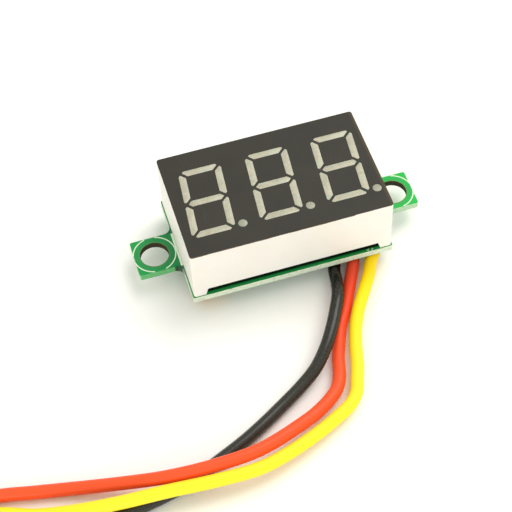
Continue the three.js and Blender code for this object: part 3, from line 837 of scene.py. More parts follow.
def stroke_outlines():
    """The seven strokes of one digit about its middle, slanted, as anticlockwise outlines."""
    side, top = DIGIT_WIDTH / 2, DIGIT_HEIGHT / 2
    inner, tip = side - STROKE, side - TIP_CUT
    rise = tip - inner
    end = [
        (inner - MITRE_GAP, top - STROKE),
        (inner - MITRE_GAP + rise, top - TIP_CUT),
        (inner - MITRE_GAP + rise - TIP_CUT, top),
    ]
    middle = [
        (tip - MITRE_GAP - STROKE / 2, -STROKE / 2),
        (tip - MITRE_GAP, 0),
        (tip - MITRE_GAP - STROKE / 2, STROKE / 2),
    ]
    upright = [
        (inner, MITRE_GAP + rise),
        (tip, MITRE_GAP),
        (side, MITRE_GAP + TIP_CUT),
        (side, top - STROKE - MITRE_GAP + rise - TIP_CUT),
        (tip, top - STROKE - MITRE_GAP + rise),
        (inner, top - STROKE - MITRE_GAP),
    ]
    shapes = [
        [(x, up * y) for x, y in half] + [(-x, up * y) for x, y in reversed(half)]
        for half, up in ((end, 1), (end, -1), (middle, 1))
    ]
    shapes += [[(across * x, up * y) for x, y in upright] for across in (1, -1) for up in (1, -1)]
    made = []
    for shape in shapes:
        points = [Vector((x + DIGIT_SLANT * (y + DIGIT_LIFT), y + DIGIT_LIFT)) for x, y in shape]
        area = sum(a.x * b.y - b.x * a.y for a, b in zip(points, points[1:] + points[:1]))
        made.append(rounded(points if area > 0 else points[::-1], TIP_ROUND))
    return made


def dot_outline():
    x, y = DIGIT_WIDTH / 2 + DOT_REACH, DIGIT_LIFT - DIGIT_HEIGHT / 2 + DOT_RISE
    return arc_points(x, y, DOT_DIAMETER / 2, 0, 360, 32)[:-1]


def face_openings(gap):
    """Every lit shape of the face, grown by a gap."""
    pitch = DISPLAY_LENGTH / DIGITS
    made = []
    for digit in range(DIGITS):
        shift = Vector(((digit - (DIGITS - 1) / 2) * pitch, 0))
        for outline in (*stroke_outlines(), dot_outline()):
            made.append([point + shift for point in grown(outline, gap)])
    return made


def make_housing():
    """The moulded shell: rounded rims, a notch under both long sides, an open back and segment shafts."""
    top = FACE - INK_FILM
    rings = ((housing_low.z, 0.06), (housing_low.z + 0.06, 0), (top - 0.02, 0), (top, 0.02))
    bm = bmesh.new()
    loops = []
    for height, inset in rings:
        outline = rounded_rectangle(DISPLAY_LENGTH - 2 * inset, DISPLAY_WIDTH - 2 * inset,
                                    DISPLAY_CORNER - inset)
        loops.append([bm.verts.new((p.x, p.y, height)) for p in outline])
    for lower, upper in zip(loops, loops[1:]):
        for i in range(len(lower)):
            j = (i + 1) % len(lower)
            bm.faces.new((lower[i], lower[j], upper[j], upper[i]))
    bm.faces.new(loops[0][::-1])
    bm.faces.new(loops[-1])
    made = object_of("reflector_housing_shell", mesh_of("housing", bm))

    casting_low, _ = span("segment_casting")
    shoulder = casting_low.z + 0.62
    inside = (DISPLAY_LENGTH / 2 - DISPLAY_WALL, DISPLAY_WIDTH / 2 - DISPLAY_WALL)
    cut_away(made, slab("cavity", (-inside[0], -inside[1], housing_low.z - 1), (*inside, shoulder), 0.1))
    end = DISPLAY_LENGTH / 2 - FOOT_LENGTH
    lean = NOTCH_SLOPE / FOOT_HEIGHT
    corners = [
        (-end - lean, -1), (end + lean, -1),
        (end - NOTCH_SLOPE, FOOT_HEIGHT), (-end + NOTCH_SLOPE, FOOT_HEIGHT),
    ]
    soft = rounded([Vector(c) for c in corners], 0.12)
    notch = plate("notch", [soft], -DISPLAY_WIDTH, DISPLAY_WIDTH)
    notch.data.transform(Matrix.Translation((0, 0, housing_low.z)) @ Matrix.Rotation(math.pi / 2, 4, "X"))
    cut_away(made, notch)
    shafts = [(plate("shaft", [outline], shoulder - 0.4, FACE + 1), HOUSING_PLASTIC)
              for outline in face_openings(CASTING_GAP)]
    cutter = joined("shafts", shafts)
    cutter.data.materials.clear()
    cut_away(made, cutter)
    finished(made, "module", HOUSING_PLASTIC, ["reflector_housing"], 40)


def make_face_mask():
    """The black print over the face, open over every segment and dot."""
    outline = rounded_rectangle(DISPLAY_LENGTH - 0.02, DISPLAY_WIDTH - 0.02, DISPLAY_CORNER - 0.01, 8)
    made = plate("face_mask_film", [outline, *face_openings(0.0)], FACE - INK_FILM, FACE, 0.008, 1)
    finished(made, "module", FACE_INK, ["face_mask"], 30)


def make_casting():
    """The cast epoxy: three digits of light guides by Geometry Nodes, the dots, and the slab behind them."""
    low, high = span("segment_casting")
    pitch = DISPLAY_LENGTH / DIGITS
    shoulder = low.z + 0.6
    guides = [(plate("guide", [outline], shoulder, FACE - 0.012, 0.03), SEGMENT_EPOXY)
              for outline in stroke_outlines()]
    digits = joined("segment_guides", guides)
    copies(digits, SEGMENT_EPOXY, DIGITS, 1, pitch, 1.0, (0, 0, 0))
    finished(digits, "module", SEGMENT_EPOXY, ["segment_casting"], 40)
    dots = plate("dot_guides", [dot_outline()], shoulder, FACE - 0.012, 0.03)
    copies(dots, DOT_EPOXY, DIGITS, 1, pitch, 1.0, (0, 0, 0))
    finished(dots, "module", DOT_EPOXY, [], 40)
    side = DISPLAY_LENGTH / 2 - DISPLAY_WALL - CASTING_GAP
    slab_piece = slab("casting_slab", (-side, low.y, low.z), (side, high.y, shoulder), 0.06)
    finished(slab_piece, "module", SEGMENT_EPOXY, [], 40)


def pin_solder(name):
    """A pin with the solder that has wicked up it, the lower end cut square."""
    top = span("display_pin_1")[1].z
    under = BOARD_UNDER - 0.02
    radius = 0.25
    profile = [(0, 0), (radius - 0.04, 0), (radius, 0.04)]
    profile += [(radius + 0.02 + 0.33 * t ** 2.6, under - 0.85 * (1 - t))
                for t in (0, 0.2, 0.4, 0.6, 0.75, 0.88, 0.96, 1)]
    profile += [(radius, under), (radius, top), (0, top)]
    return lathe(name, profile, 20)


def make_pins():
    made = pin_solder("display_pins")
    copies(made, TIN, PINS_IN_ROW, 2, PIN_PITCH, PIN_ROW_SPACING, (0, 0, 0), PINS_IN_ROW - 1)
    finished(made, "module", TIN, [f"display_pin_{i + 1}" for i in range(2 * PINS_IN_ROW - 1)], 50)


# ---- Circuit board ----


def board_outline():
    """The board with its two ears: rounded corners, and a fillet where each ear joins."""
    half_width, ear_side, ear_end = board_high.y, EAR_WIDTH / 2, board_high.x
    fillet_x, fillet_y = BOARD_HALF + EAR_FILLET, ear_side + EAR_FILLET
    side = [
        *arc_points(BOARD_HALF - BOARD_CORNER, -half_width + BOARD_CORNER, BOARD_CORNER, -90, 0, 4),
        *arc_points(fillet_x, -fillet_y, EAR_FILLET, 180, 90, 8),
        *arc_points(ear_end - EAR_CORNER, -ear_side + EAR_CORNER, EAR_CORNER, -90, 0, 4),
        *arc_points(ear_end - EAR_CORNER, ear_side - EAR_CORNER, EAR_CORNER, 0, 90, 4),
        *arc_points(fillet_x, fillet_y, EAR_FILLET, 270, 180, 8),
        *arc_points(BOARD_HALF - BOARD_CORNER, half_width - BOARD_CORNER, BOARD_CORNER, 0, 90, 4),
    ]
    return side + [-point for point in side]


def roughened(outline, step, depth):
    """An outline cut into short steps and worn unevenly inwards, as a snapped board edge is."""
    made = []
    for a, b in zip(outline, outline[1:] + outline[:1]):
        parts = max(1, round((b - a).length / step))
        outward = Vector(((b - a).y, -(b - a).x)).normalized()
        for i in range(parts):
            point = a.lerp(b, i / parts)
            wear = noise.fractal(Vector((point.x * 1.7, point.y * 1.7, 0.5)), 1.0, 2.0, 4)
            made.append(point - outward * depth * (0.5 + 0.5 * wear))
    return made


def pin_places():
    rows = ((-1, PINS_IN_ROW - 1), (1, PINS_IN_ROW))
    return [Vector(((i - (PINS_IN_ROW - 1) / 2) * PIN_PITCH, row * PIN_ROW_SPACING / 2))
            for row, count in rows for i in range(count)]


def make_board():
    edge = roughened(board_outline(), 0.12, 0.035)
    screw_holes = [roughened(arc_points(x, 0, SCREW_HOLE / 2, 0, 360, 64)[:-1], 0.1, 0.012)
                   for x in (-SCREW_X, SCREW_X)]
    pin_holes = [arc_points(p.x, p.y, 0.4, 0, 360, 16)[:-1] for p in pin_places()]
    made = plate("circuit_board", [edge, *screw_holes, *pin_holes], BOARD_UNDER, BOARD_TOP, 0.02, 1)
    made.data.materials.append(BOARD_MASK.material)
    made.data.materials.append(BOARD_EDGE.material)
    made.data.materials.append(HOLE_WALL.material)
    for face in made.data.polygons:
        from_screw = (Vector((abs(face.center.x) - SCREW_X, face.center.y))).length
        edge = 2 if from_screw < SCREW_HOLE / 2 + 0.08 else 1
        face.material_index = 0 if abs(face.normal.z) > 0.9 else edge
    finished(made, "module", [BOARD_MASK, BOARD_EDGE, HOLE_WALL], ["main_pcb"], 30)


def ribbon(points, width):
    """A band of a given width along a line in plan, as one outline."""
    left, right = [], []
    for i, point in enumerate(points):
        ahead = points[min(i + 1, len(points) - 1)]
        behind = points[max(i - 1, 0)]
        along = (ahead - behind).normalized()
        side = Vector((-along.y, along.x)) * width / 2
        left.append(point + side)
        right.append(point - side)
    return right + left[::-1]


def make_print():
    """White print: a broken ring round each screw hole, a bar by each display end, and part outlines."""
    ring, line = 2.35, 0.13
    breaks = ((288, 436.5), (105, 168), (192, 257))
    bands = []
    for side in (-1, 1):
        for start, end in breaks:
            points = [Vector((-side * p.x + side * SCREW_X, p.y))
                      for p in arc_points(0, 0, ring, start, end, 40)]
            bands.append(ribbon(points, line))
        x = side * (DISPLAY_LENGTH / 2 + 0.13)
        bands.append(ribbon([Vector((x, -2.4)), Vector((x, 2.2))], 0.24))
    for x, lean in ((8.45, 0.12), (8.7, -0.12), (9.15, -0.2)):
        bands.append(ribbon([Vector((x, -6.72)), Vector((x + lean, -6.98))], 0.09))
    top = [(plate("print", [band], BOARD_TOP, BOARD_TOP + PRINT_FILM), BOARD_PRINT) for band in bands]
    under = []
    for node, gap in (
        ("meter_chip", 0.35), ("voltage_regulator", 0.3), ("trimmer_base", 0.3), ("protection_diode", 0.3),
        ("input_capacitor", 0.25), ("output_capacitor", 0.25),
    ):
        low, high = span(node)
        outer = rounded_rectangle(high.x - low.x + 2 * gap, high.y - low.y + 2 * gap, 0.1, 2)
        inner = rounded_rectangle(high.x - low.x + 2 * gap - 0.24, high.y - low.y + 2 * gap - 0.24, 0.05, 2)
        centre = Vector(((low.x + high.x) / 2, (low.y + high.y) / 2))
        frame_lines = [[point + centre for point in outline] for outline in (outer, inner)]
        under.append((plate("print", frame_lines, BOARD_UNDER - PRINT_FILM, BOARD_UNDER), BOARD_PRINT))
    finished(joined("board_print", top + under), "module", BOARD_PRINT)


def make_traces():
    """Copper tracks under the mask on the back, from the display's pins to the chip with square-cut bends."""
    low, high = span("meter_chip")
    bands = []
    for i, pin in enumerate(pin_places()):
        side = -1 if pin.y < 0 else 1
        count = PINS_IN_ROW - 1 if side < 0 else PINS_IN_ROW
        order = i if side < 0 else i - (PINS_IN_ROW - 1)
        goal_x = (low.x + high.x) / 2 + (order - (count - 1) / 2) * 1.3
        goal_y = low.y - 0.05 if side < 0 else high.y + 0.05
        turn = min(abs(pin.x - goal_x), abs(pin.y - goal_y) - 0.5)
        bend = Vector((goal_x, pin.y - side * turn))
        bands.append(ribbon([pin, bend, Vector((goal_x, goal_y))], 0.22))
    for node in ("voltage_regulator", "trimmer_base"):
        box_low, box_high = span(node)
        y = (box_low.y + box_high.y) / 2
        near = box_low.x if box_low.x > 0 else box_high.x
        reach = high.x if box_low.x > 0 else low.x
        bands.append(ribbon([Vector((near, y)), Vector((reach, y))], 0.3))
    parts = [(plate("track", [band], BOARD_UNDER - 0.012, BOARD_UNDER), TRACE_MASK) for band in bands]
    finished(joined("copper_tracks", parts), "module", TRACE_MASK)


# ---- Parts on the back of the board ----


def well(radius, low, high):
    """The profile of a plain round bar between two heights."""
    return [(0, low), (radius, low), (radius, high), (0, high)]


def bar(name, across, along, heights, *softness):
    """A slab from its ranges along X, Y and Z."""
    low, high = zip(across, along, heights)
    return slab(name, low, high, *softness)


def gull_leg(name, reach, width, height, thickness=0.13):
    """One bent leg from a chip's side down to its pad, pointing along +Y from the chip's side."""
    path = [
        (-0.1, height), (reach * 0.25, height), (reach * 0.42, height * 0.86),
        (reach * 0.55, height * 0.18), (reach * 0.68, 0.0), (reach, 0.0),
    ]
    section = [(-width / 2, 0), (width / 2, 0), (width / 2, thickness), (-width / 2, thickness)]
    return swept(name, [Vector((0, y, -z)) for y, z in path], [(a, -b) for a, b in section])


def leg_rows(node, body_half_width, count, pitch, width, height):
    """Rows of bent legs on a chip's long sides, repeated by Geometry Nodes."""
    low, high = span(node)
    centre = ((low.x + high.x) / 2, (low.y + high.y) / 2)
    parts = []
    for side in (-1, 1):
        reach = (high.y - centre[1] if side > 0 else centre[1] - low.y) - body_half_width
        leg = gull_leg("leg", reach, width, height)
        if side < 0:
            leg.data.transform(Matrix.Rotation(math.pi, 4, "Z"))
        place = (centre[0], centre[1] + side * body_half_width, BOARD_UNDER - PAD_THICKNESS)
        copies(leg, TIN, count, 1, pitch, 1.0, place)
        parts.append((leg, TIN))
    return parts


def make_meter_chip():
    low, high = span("meter_chip")
    half = 2.2
    y = (low.y + high.y) / 2
    body = slab("chip_body", (low.x, y - half, low.z), (high.x, y + half, BOARD_UNDER - 0.12), 0.07, 2, 0.08)
    cutter = lathe("dimple", well(0.32, low.z - 0.2, low.z + 0.04), 24)
    cutter.data.transform(Matrix.Translation((low.x + 0.75, y - half + 0.75, 0)))
    cut_away(body, cutter)
    parts = [(body, CHIP_BLACK), *leg_rows("meter_chip", half, 10, 0.65, 0.24, 0.45)]
    finished(joined("meter_chip_package", parts), "module", [CHIP_BLACK, TIN], ["meter_chip"])


def make_regulator():
    low, high = span("voltage_regulator")
    y = -1.7
    half = 1.25
    body = slab("body", (low.x, y - half, low.z), (high.x, y + half, BOARD_UNDER - 0.05), 0.09, 2, 0.1)
    leg = gull_leg("leg", high.y - y - half, 0.45, 0.35, 0.3)
    middle = (low.x + high.x) / 2
    copies(leg, TIN, 3, 1, 1.5, 1.0, (middle, y + half, BOARD_UNDER - PAD_THICKNESS))
    tab = bar("tab", (middle - 0.85, middle + 0.85), (low.y, y),
              (BOARD_UNDER - 0.34, BOARD_UNDER - PAD_THICKNESS), 0.04)
    parts = [(body, CHIP_BLACK), (leg, TIN), (tab, TIN)]
    finished(joined("voltage_regulator_package", parts), "module", [CHIP_BLACK, TIN], ["voltage_regulator"])


def solder_wedge(name, x, y, reach, width, height):
    """A hollow-sided fillet of solder against the end of a part; reach is signed along X."""
    heights = [(t, height * (1 - t) ** 2.2) for t in (0, 0.15, 0.3, 0.5, 0.75, 1)]
    outline = [(0, 0.0), *[(reach * t, h) for t, h in reversed(heights)]]
    bm = bmesh.new()
    sides = [[bm.verts.new((x + a, y + s * width / 2, BOARD_UNDER - b)) for a, b in outline] for s in (-1, 1)]
    bm.faces.new(sides[0])
    bm.faces.new(sides[1][::-1])
    for i in range(len(outline)):
        j = (i + 1) % len(outline)
        bm.faces.new((sides[0][i], sides[1][i], sides[1][j], sides[0][j]))
    bmesh.ops.remove_doubles(bm, verts=bm.verts, dist=1e-4)
    bmesh.ops.recalc_face_normals(bm, faces=bm.faces)
    return object_of(name, mesh_of(name, bm))


def make_end_capped(node, core, glaze=None):
    """A two-ended chip part: ceramic core, tinned end caps, a glazed face and solder fillets."""
    low, high = span(node)
    centre, size = (low + high) / 2, high - low
    quarter = size.y > size.x
    length, width = (size.y, size.x) if quarter else (size.x, size.y)
    half, side, top, bottom = length / 2, width / 2, BOARD_UNDER - PAD_THICKNESS, low.z
    cap = length * 0.2
    body = bar("core", (-half + 0.03, half - 0.03), (-side + 0.02, side - 0.02), (bottom + 0.02, top), 0.03)
    parts = [(body, core)]
    for end in (-1, 1):
        edges = sorted((end * half, end * (half - cap)))
        parts.append((slab("cap", (edges[0], -side, bottom), (edges[1], side, top), 0.04), TIN))
        fillet = solder_wedge("fillet", end * (half - 0.01), 0, end * 0.28, width * 0.92,
                              (top - bottom) * 0.8)
        parts.append((fillet, TIN))
        pad = sorted((end * (half - cap), end * (half + 0.32)))
        parts.append((bar("pad", pad, (-side - 0.05, side + 0.05),
                          (BOARD_UNDER - PAD_THICKNESS, BOARD_UNDER - PAD_INSET), 0.01, 1), TIN))
    if glaze:
        reach = half - cap - 0.04
        face = bar("glaze", (-reach, reach), (-side + 0.03, side - 0.03), (bottom, bottom + 0.06), 0.025)
        parts.append((face, glaze))
    made = joined(node + "_part", parts)
    turn = Matrix.Rotation(math.pi / 2, 4, "Z") if quarter else Matrix.Identity(4)
    made.data.transform(Matrix.Translation((centre.x, centre.y, 0)) @ turn)
    finishes = [core, TIN] + ([glaze] if glaze else [])
    finished(made, "module", finishes, [node])


def make_moulded_two_lead(node, body_finish, stripe=None):
    """A moulded diode or tantalum capacitor: body, folded end leads, and a stripe at one end."""
    low, high = span(node)
    centre = (low + high) / 2
    body_half = (high.x - low.x) / 2 - (0.1 if stripe else 0.55)
    body = bar("body", (centre.x - body_half, centre.x + body_half), (low.y, high.y),
               (low.z, BOARD_UNDER - 0.08), 0.07, 2, 0.06)
    parts = [(body, body_finish)]
    lead_half = 0.6 if stripe else 0.3
    lead_sides = (centre.y - lead_half, centre.y + lead_half)
    for end in (-1, 1):
        outer = centre.x + end * (high.x - low.x) / 2
        inner = centre.x + end * (body_half - 0.6)
        wall = centre.x + end * (body_half - 0.02)
        foot = sorted((outer, inner))
        parts.append((bar("foot", foot, lead_sides, (BOARD_UNDER - 0.15, BOARD_UNDER - 0.02), 0.03), TIN))
        post = sorted((outer, wall))
        parts.append((bar("post", post, lead_sides, (BOARD_UNDER - 0.75, BOARD_UNDER - 0.05), 0.03), TIN))
    if stripe:
        start = centre.x + body_half * 0.55
        band = bar("stripe", (start, start + body_half * 0.22), (low.y + 0.1, high.y - 0.1),
                   (low.z - 0.006, low.z + 0.03), 0.003, 1)
        parts.append((band, stripe))
    finishes = [body_finish, TIN] + ([stripe] if stripe else [])
    finished(joined(node + "_package", parts), "module", finishes, [node])


def make_trimmer():
    """The trimmer's ceramic base, its stamped feet and its slotted brass rotor."""
    low, high = span("trimmer_base")
    rotor_low, rotor_high = span("trimmer_rotor")
    centre = (rotor_low + rotor_high) / 2
    half_y = TRIMMER_HALF_WIDTH
    body = bar("base", (low.x, high.x), (centre.y - half_y, centre.y + half_y),
               (low.z, BOARD_UNDER - 0.02), 0.1, 2)
    bore = lathe("bore", well(0.56, low.z - 0.3, low.z + 0.66), 32)
    bore.data.transform(Matrix.Translation((centre.x, centre.y, 0)))
    cut_away(body, bore)
    track = lathe("track", well(1.12, 0, 0.03), 40)
    track.data.transform(Matrix.Translation((centre.x, centre.y, low.z - 0.005)))
    hole = lathe("hole", well(0.72, -1, 1), 32)
    hole.data.transform(Matrix.Translation((centre.x, centre.y, low.z)))
    cut_away(track, hole)
    parts = [(body, WHITE_CERAMIC), (track, CHIP_BLACK)]
    for x, side in ((-1.0, 1), (1.0, 1), (0.0, -1)):
        edge = centre.y + side * half_y
        outer = high.y if side > 0 else low.y
        foot = (centre.x + x - 0.35, centre.x + x + 0.35)
        span_y = sorted((edge - side * 0.1, outer))
        parts.append((bar("foot", foot, span_y, (BOARD_UNDER - 0.25, BOARD_UNDER - 0.02), 0.04), TIN))
        wall = sorted((edge, edge + side * 0.08))
        parts.append((bar("wall", foot, wall, (low.z + 0.25, BOARD_UNDER - 0.02), 0.02), TIN))
    finished(joined("trimmer_base_part", parts), "module", [WHITE_CERAMIC, CHIP_BLACK, TIN], ["trimmer_base"])

    radius = (rotor_high.x - rotor_low.x) / 2
    disc_top = low.z - 0.05
    profile = [(0, rotor_low.z), (radius - 0.35, rotor_low.z), (radius - 0.12, rotor_low.z + 0.05),
               (radius, rotor_low.z + 0.2), (radius, disc_top - 0.05), (radius - 0.05, disc_top),
               (0.5, disc_top), (0.5, rotor_high.z - 0.04), (0.46, rotor_high.z), (0, rotor_high.z)]
    rotor = lathe("trimmer_rotor_part", profile, 48)
    for length, width in ((1.8, 0.36), (0.36, 1.8)):
        cut_away(rotor, bar("slot", (-length / 2, length / 2), (-width / 2, width / 2),
                            (rotor_low.z - 0.3, rotor_low.z + 0.22), 0.05, 2))
    notch = bar("notch", (radius - 0.25, radius + 0.3), (-0.2, 0.2),
                (rotor_low.z - 0.3, disc_top + 0.02), 0.04)
    notch.data.transform(Matrix.Rotation(math.radians(45), 4, "Z"))
    cut_away(rotor, notch)
    rotor.data.transform(Matrix.Translation((centre.x, centre.y, 0)))
    finished(rotor, "trimmer", BRASS, ["trimmer_rotor"], 30)


# ---- Leads ----

LEADS = {
    "black": {
        "finish": BLACK_VINYL,
        "ring": COIL_MIDDLE_RADIUS + LEAD_DIAMETER,
        "route": [
            (0.0049, -0.0062, 0.0011), (0.00455, -0.0072, 0.0011), (0.0042, -0.00905, 0.0016),
            (0.0037, -0.0109, 0.002), (0.0027, -0.013, 0.00208), (0.0014, -0.0153, 0.00204),
            (0.0002, -0.017, 0.0018), (-0.0014, -0.0187, 0.00135), (-0.0033, -0.02, 0.00095),
            (-0.006, -0.0216, 0.00072), (-0.0089, -0.0233, 0.00072), (-0.0112, -0.0245, 0.00072),
            (-0.0137, -0.0256, 0.00072), (-0.0171, -0.027, 0.00072), (-0.0206, -0.0279, 0.00072),
            (-0.0242, -0.0285, 0.00072), (-0.0282, -0.0289, 0.00072), (-0.0324, -0.0286, 0.00072),
            (-0.0366, -0.0276, 0.00072), (-0.0406, -0.0263, 0.00072), (-0.044, -0.0253, 0.0009),
        ],
    },
    "red": {
        "finish": RED_VINYL,
        "ring": COIL_MIDDLE_RADIUS - LEAD_DIAMETER,
        "route": [
            (0.00705, -0.00615, 0.00105), (0.0068, -0.007, 0.00095), (0.0061, -0.0084, 0.00078),
            (0.0051, -0.0103, 0.00072), (0.004, -0.0124, 0.00072), (0.0029, -0.0142, 0.00072),
            (0.0021, -0.016, 0.00072), (0.0013, -0.0181, 0.00078), (0.0008, -0.0199, 0.0009),
            (0.0001, -0.0214, 0.00105), (-0.0011, -0.0226, 0.0012), (-0.0027, -0.0237, 0.0014),
            (-0.0047, -0.0247, 0.00165), (-0.0098, -0.0265, 0.0021), (-0.0145, -0.0269, 0.00224),
            (-0.0197, -0.0266, 0.00215), (-0.0246, -0.0254, 0.0014), (-0.0295, -0.0241, 0.0008),
            (-0.0327, -0.0234, 0.00072), (-0.036, -0.0227, 0.00072), (-0.04, -0.0224, 0.0008),
        ],
    },
    "yellow": {
        "finish": YELLOW_VINYL,
        "ring": COIL_MIDDLE_RADIUS,
        "route": [
            (0.0096, -0.00625, 0.0011), (0.009, -0.00695, 0.0011), (0.00785, -0.0091, 0.0012),
            (0.0065, -0.0112, 0.0013), (0.0052, -0.0132, 0.0013), (0.0042, -0.0153, 0.0012),
            (0.0035, -0.0174, 0.00115), (0.0029, -0.0196, 0.0011), (0.0023, -0.0212, 0.0011),
            (0.0017, -0.0227, 0.0011), (0.0006, -0.0239, 0.00115), (-0.0011, -0.0249, 0.00125),
            (-0.0035, -0.0261, 0.0014), (-0.007, -0.0275, 0.00165), (-0.0104, -0.0284, 0.0019),
            (-0.015, -0.0285, 0.00212), (-0.02, -0.0282, 0.00224), (-0.025, -0.0279, 0.00215),
            (-0.0299, -0.027, 0.0015), (-0.0332, -0.026, 0.0009), (-0.0364, -0.0247, 0.00072),
            (-0.04, -0.0241, 0.00074),
        ],
    },
}


def smooth_curve(points, step):
    """A centripetal spline through the points, as closely spaced places."""
    ends = [points[0] * 2 - points[1], *points, points[-1] * 2 - points[-2]]
    made = []
    for p0, p1, p2, p3 in zip(ends, ends[1:], ends[2:], ends[3:]):
        t1 = (p1 - p0).length ** 0.5
        t2 = t1 + (p2 - p1).length ** 0.5
        t3 = t2 + (p3 - p2).length ** 0.5
        parts = max(2, math.ceil((p2 - p1).length / step))
        for i in range(parts):
            t = t1 + (t2 - t1) * i / parts
            a1, a2 = p0.lerp(p1, t / t1), p1.lerp(p2, (t - t1) / (t2 - t1))
            a3 = p2.lerp(p3, (t - t2) / (t3 - t2))
            b1, b2 = a1.lerp(a2, t / t2), a2.lerp(a3, (t - t1) / (t3 - t1))
            made.append(b1.lerp(b2, (t - t1) / (t2 - t1)))
    return [*made, points[-1]]


def length_of(points):
    return sum((b - a).length for a, b in zip(points, points[1:]))


def coil_path(ring, length):
    """The wound stretch: clockwise from the near side, up to a second layer, then off along a tangent."""
    clear = COIL_MIDDLE_RADIUS + 1.5 * LEAD_DIAMETER + 0.4
    tail = math.sqrt(clear ** 2 - ring ** 2)
    turn = (length - tail) / ring
    steps = round(math.degrees(turn) / 5)
    points = []
    for i in range(steps + 1):
        wound = turn * i / steps
        angle = -math.pi / 2 - wound
        share = min(1.0, max(0.0, (math.degrees(wound) - CLIMB_FROM) / (CLIMB_TO - CLIMB_FROM)))
        height = FIRST_LAYER + LEAD_DIAMETER * (3 * share ** 2 - 2 * share ** 3)
        points.append(Vector((COIL_PLACE.x + ring * math.cos(angle),
                              COIL_PLACE.y + ring * math.sin(angle), height)))
    along = Vector((math.sin(angle), -math.cos(angle), 0))
    last = points[-1]
    points += [last + along * tail * t for t in (0.25, 0.5, 0.75, 1.0)]
    return points, along


def lead_curve(name, points, diameter):
    curve = bpy.data.curves.new(name, "CURVE")
    curve.dimensions = "3D"
    curve.bevel_depth = diameter / 2 * MM
    curve.bevel_resolution = 5
    curve.use_fill_caps = True
    spline = curve.splines.new("POLY")
    spline.points.add(len(points) - 1)
    for point, place in zip(spline.points, points):
        point.co = (*(place * MM), 1)
    spline.use_smooth = True
    return object_of(name, curve)


def strand_bundle(name, start, along, length, radius, turns):
    """Twisted bare strands along a line: one in the middle and the others wound round it."""
    side = along.cross(Vector((0, 0, 1))).normalized()
    up = side.cross(along)
    strand = radius / 3
    section = [(strand * math.cos(2 * math.pi * k / 8), strand * math.sin(2 * math.pi * k / 8))
               for k in range(8)]
    parts = []
    for k in range(STRANDS):
        reach = 0 if k == 0 else 2 * strand
        phase = 2 * math.pi * k / (STRANDS - 1)
        count = 2 if k == 0 else 28
        path = []
        for i in range(count + 1):
            t = i / count
            angle = phase + 2 * math.pi * turns * t
            path.append(start + along * length * t + (side * math.cos(angle) + up * math.sin(angle)) * reach)
        parts.append((swept("strand", path, section), TIN))
    return joined(name, parts)


def make_lead(colour, spec):
    ring = spec["ring"]
    route = [Vector(place) / MM for place in spec["route"]]
    entry = Vector((COIL_PLACE.x, COIL_PLACE.y - ring, FIRST_LAYER))
    laid = smooth_curve([*route, entry.lerp(Vector((route[-1].x, entry.y, entry.z)), 0.45), entry], 0.5)
    wound, along = coil_path(ring, LEAD_LENGTH - length_of(laid))
    points = [*laid, *wound[1:]]
    lead = lead_curve(f"lead_{colour}_insulation", points, LEAD_DIAMETER)
    lead.data.materials.append(spec["finish"].material)
    replaced = [f"lead_{colour}"] + (["lead_coil"] if colour == "red" else [])
    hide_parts(*replaced)
    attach(lead, "module")

    tip = strand_bundle(f"lead_tip_{colour}_strands", points[-1] - along * TIP_OVERLAP, along,
                        TIP_LENGTH, STRAND_BUNDLE_RADIUS, 1.6)
    finished(tip, "module", TIN, [f"lead_tip_{colour}"], 60)


def make_tie():
    """The tie: a flat band wrapped round the coil's section, its end lapped over on top."""
    high = span("lead_coil")[1]
    radii = (COIL_MIDDLE_RADIUS - 1.5 * LEAD_DIAMETER - 0.3, COIL_MIDDLE_RADIUS + 1.5 * LEAD_DIAMETER + 0.3)
    top = high.z + 0.18
    outline = rounded_rectangle(radii[1] - radii[0], top - 0.16, 0.45, 6)
    middle = Vector(((radii[0] + radii[1]) / 2, 0, (top + 0.16) / 2))
    path = [middle + Vector((p.x, 0, p.y)) for p in outline]
    section = [(-0.14, -0.8), (0.14, -0.8), (0.14, 0.8), (-0.14, 0.8)]
    bm = bmesh.new()
    rings = []
    for i, place in enumerate(path):
        along = (path[(i + 1) % len(path)] - path[i - 1]).normalized()
        out = Vector((along.z, 0, -along.x))
        rings.append([bm.verts.new(place + out * a + Vector((0, b, 0))) for a, b in section])
    for i in range(len(rings)):
        first, second = rings[i], rings[(i + 1) % len(rings)]
        for k in range(4):
            bm.faces.new((first[k], first[(k + 1) % 4], second[(k + 1) % 4], second[k]))
    bmesh.ops.recalc_face_normals(bm, faces=bm.faces)
    band = object_of("band", mesh_of("band", bm))
    soft = band.modifiers.new("soft", "BEVEL")
    soft.width, soft.segments, soft.limit_method = 0.05, 2, "ANGLE"
    evaluated(band)
    lap = slab("lap", (middle.x - 1.2, -0.7, top + 0.1), (middle.x + 0.7, 0.7, top + 0.22), 0.05)
    made = joined("coil_tie_band", [(band, TIE_FILM), (lap, TIE_FILM)])
    turn = Matrix.Rotation(math.radians(TIE_ANGLE), 4, "Z")
    made.data.transform(Matrix.Translation((COIL_PLACE.x, COIL_PLACE.y, 0)) @ turn)
    return finished(made, "module", TIE_FILM, ["coil_tie"], 40)


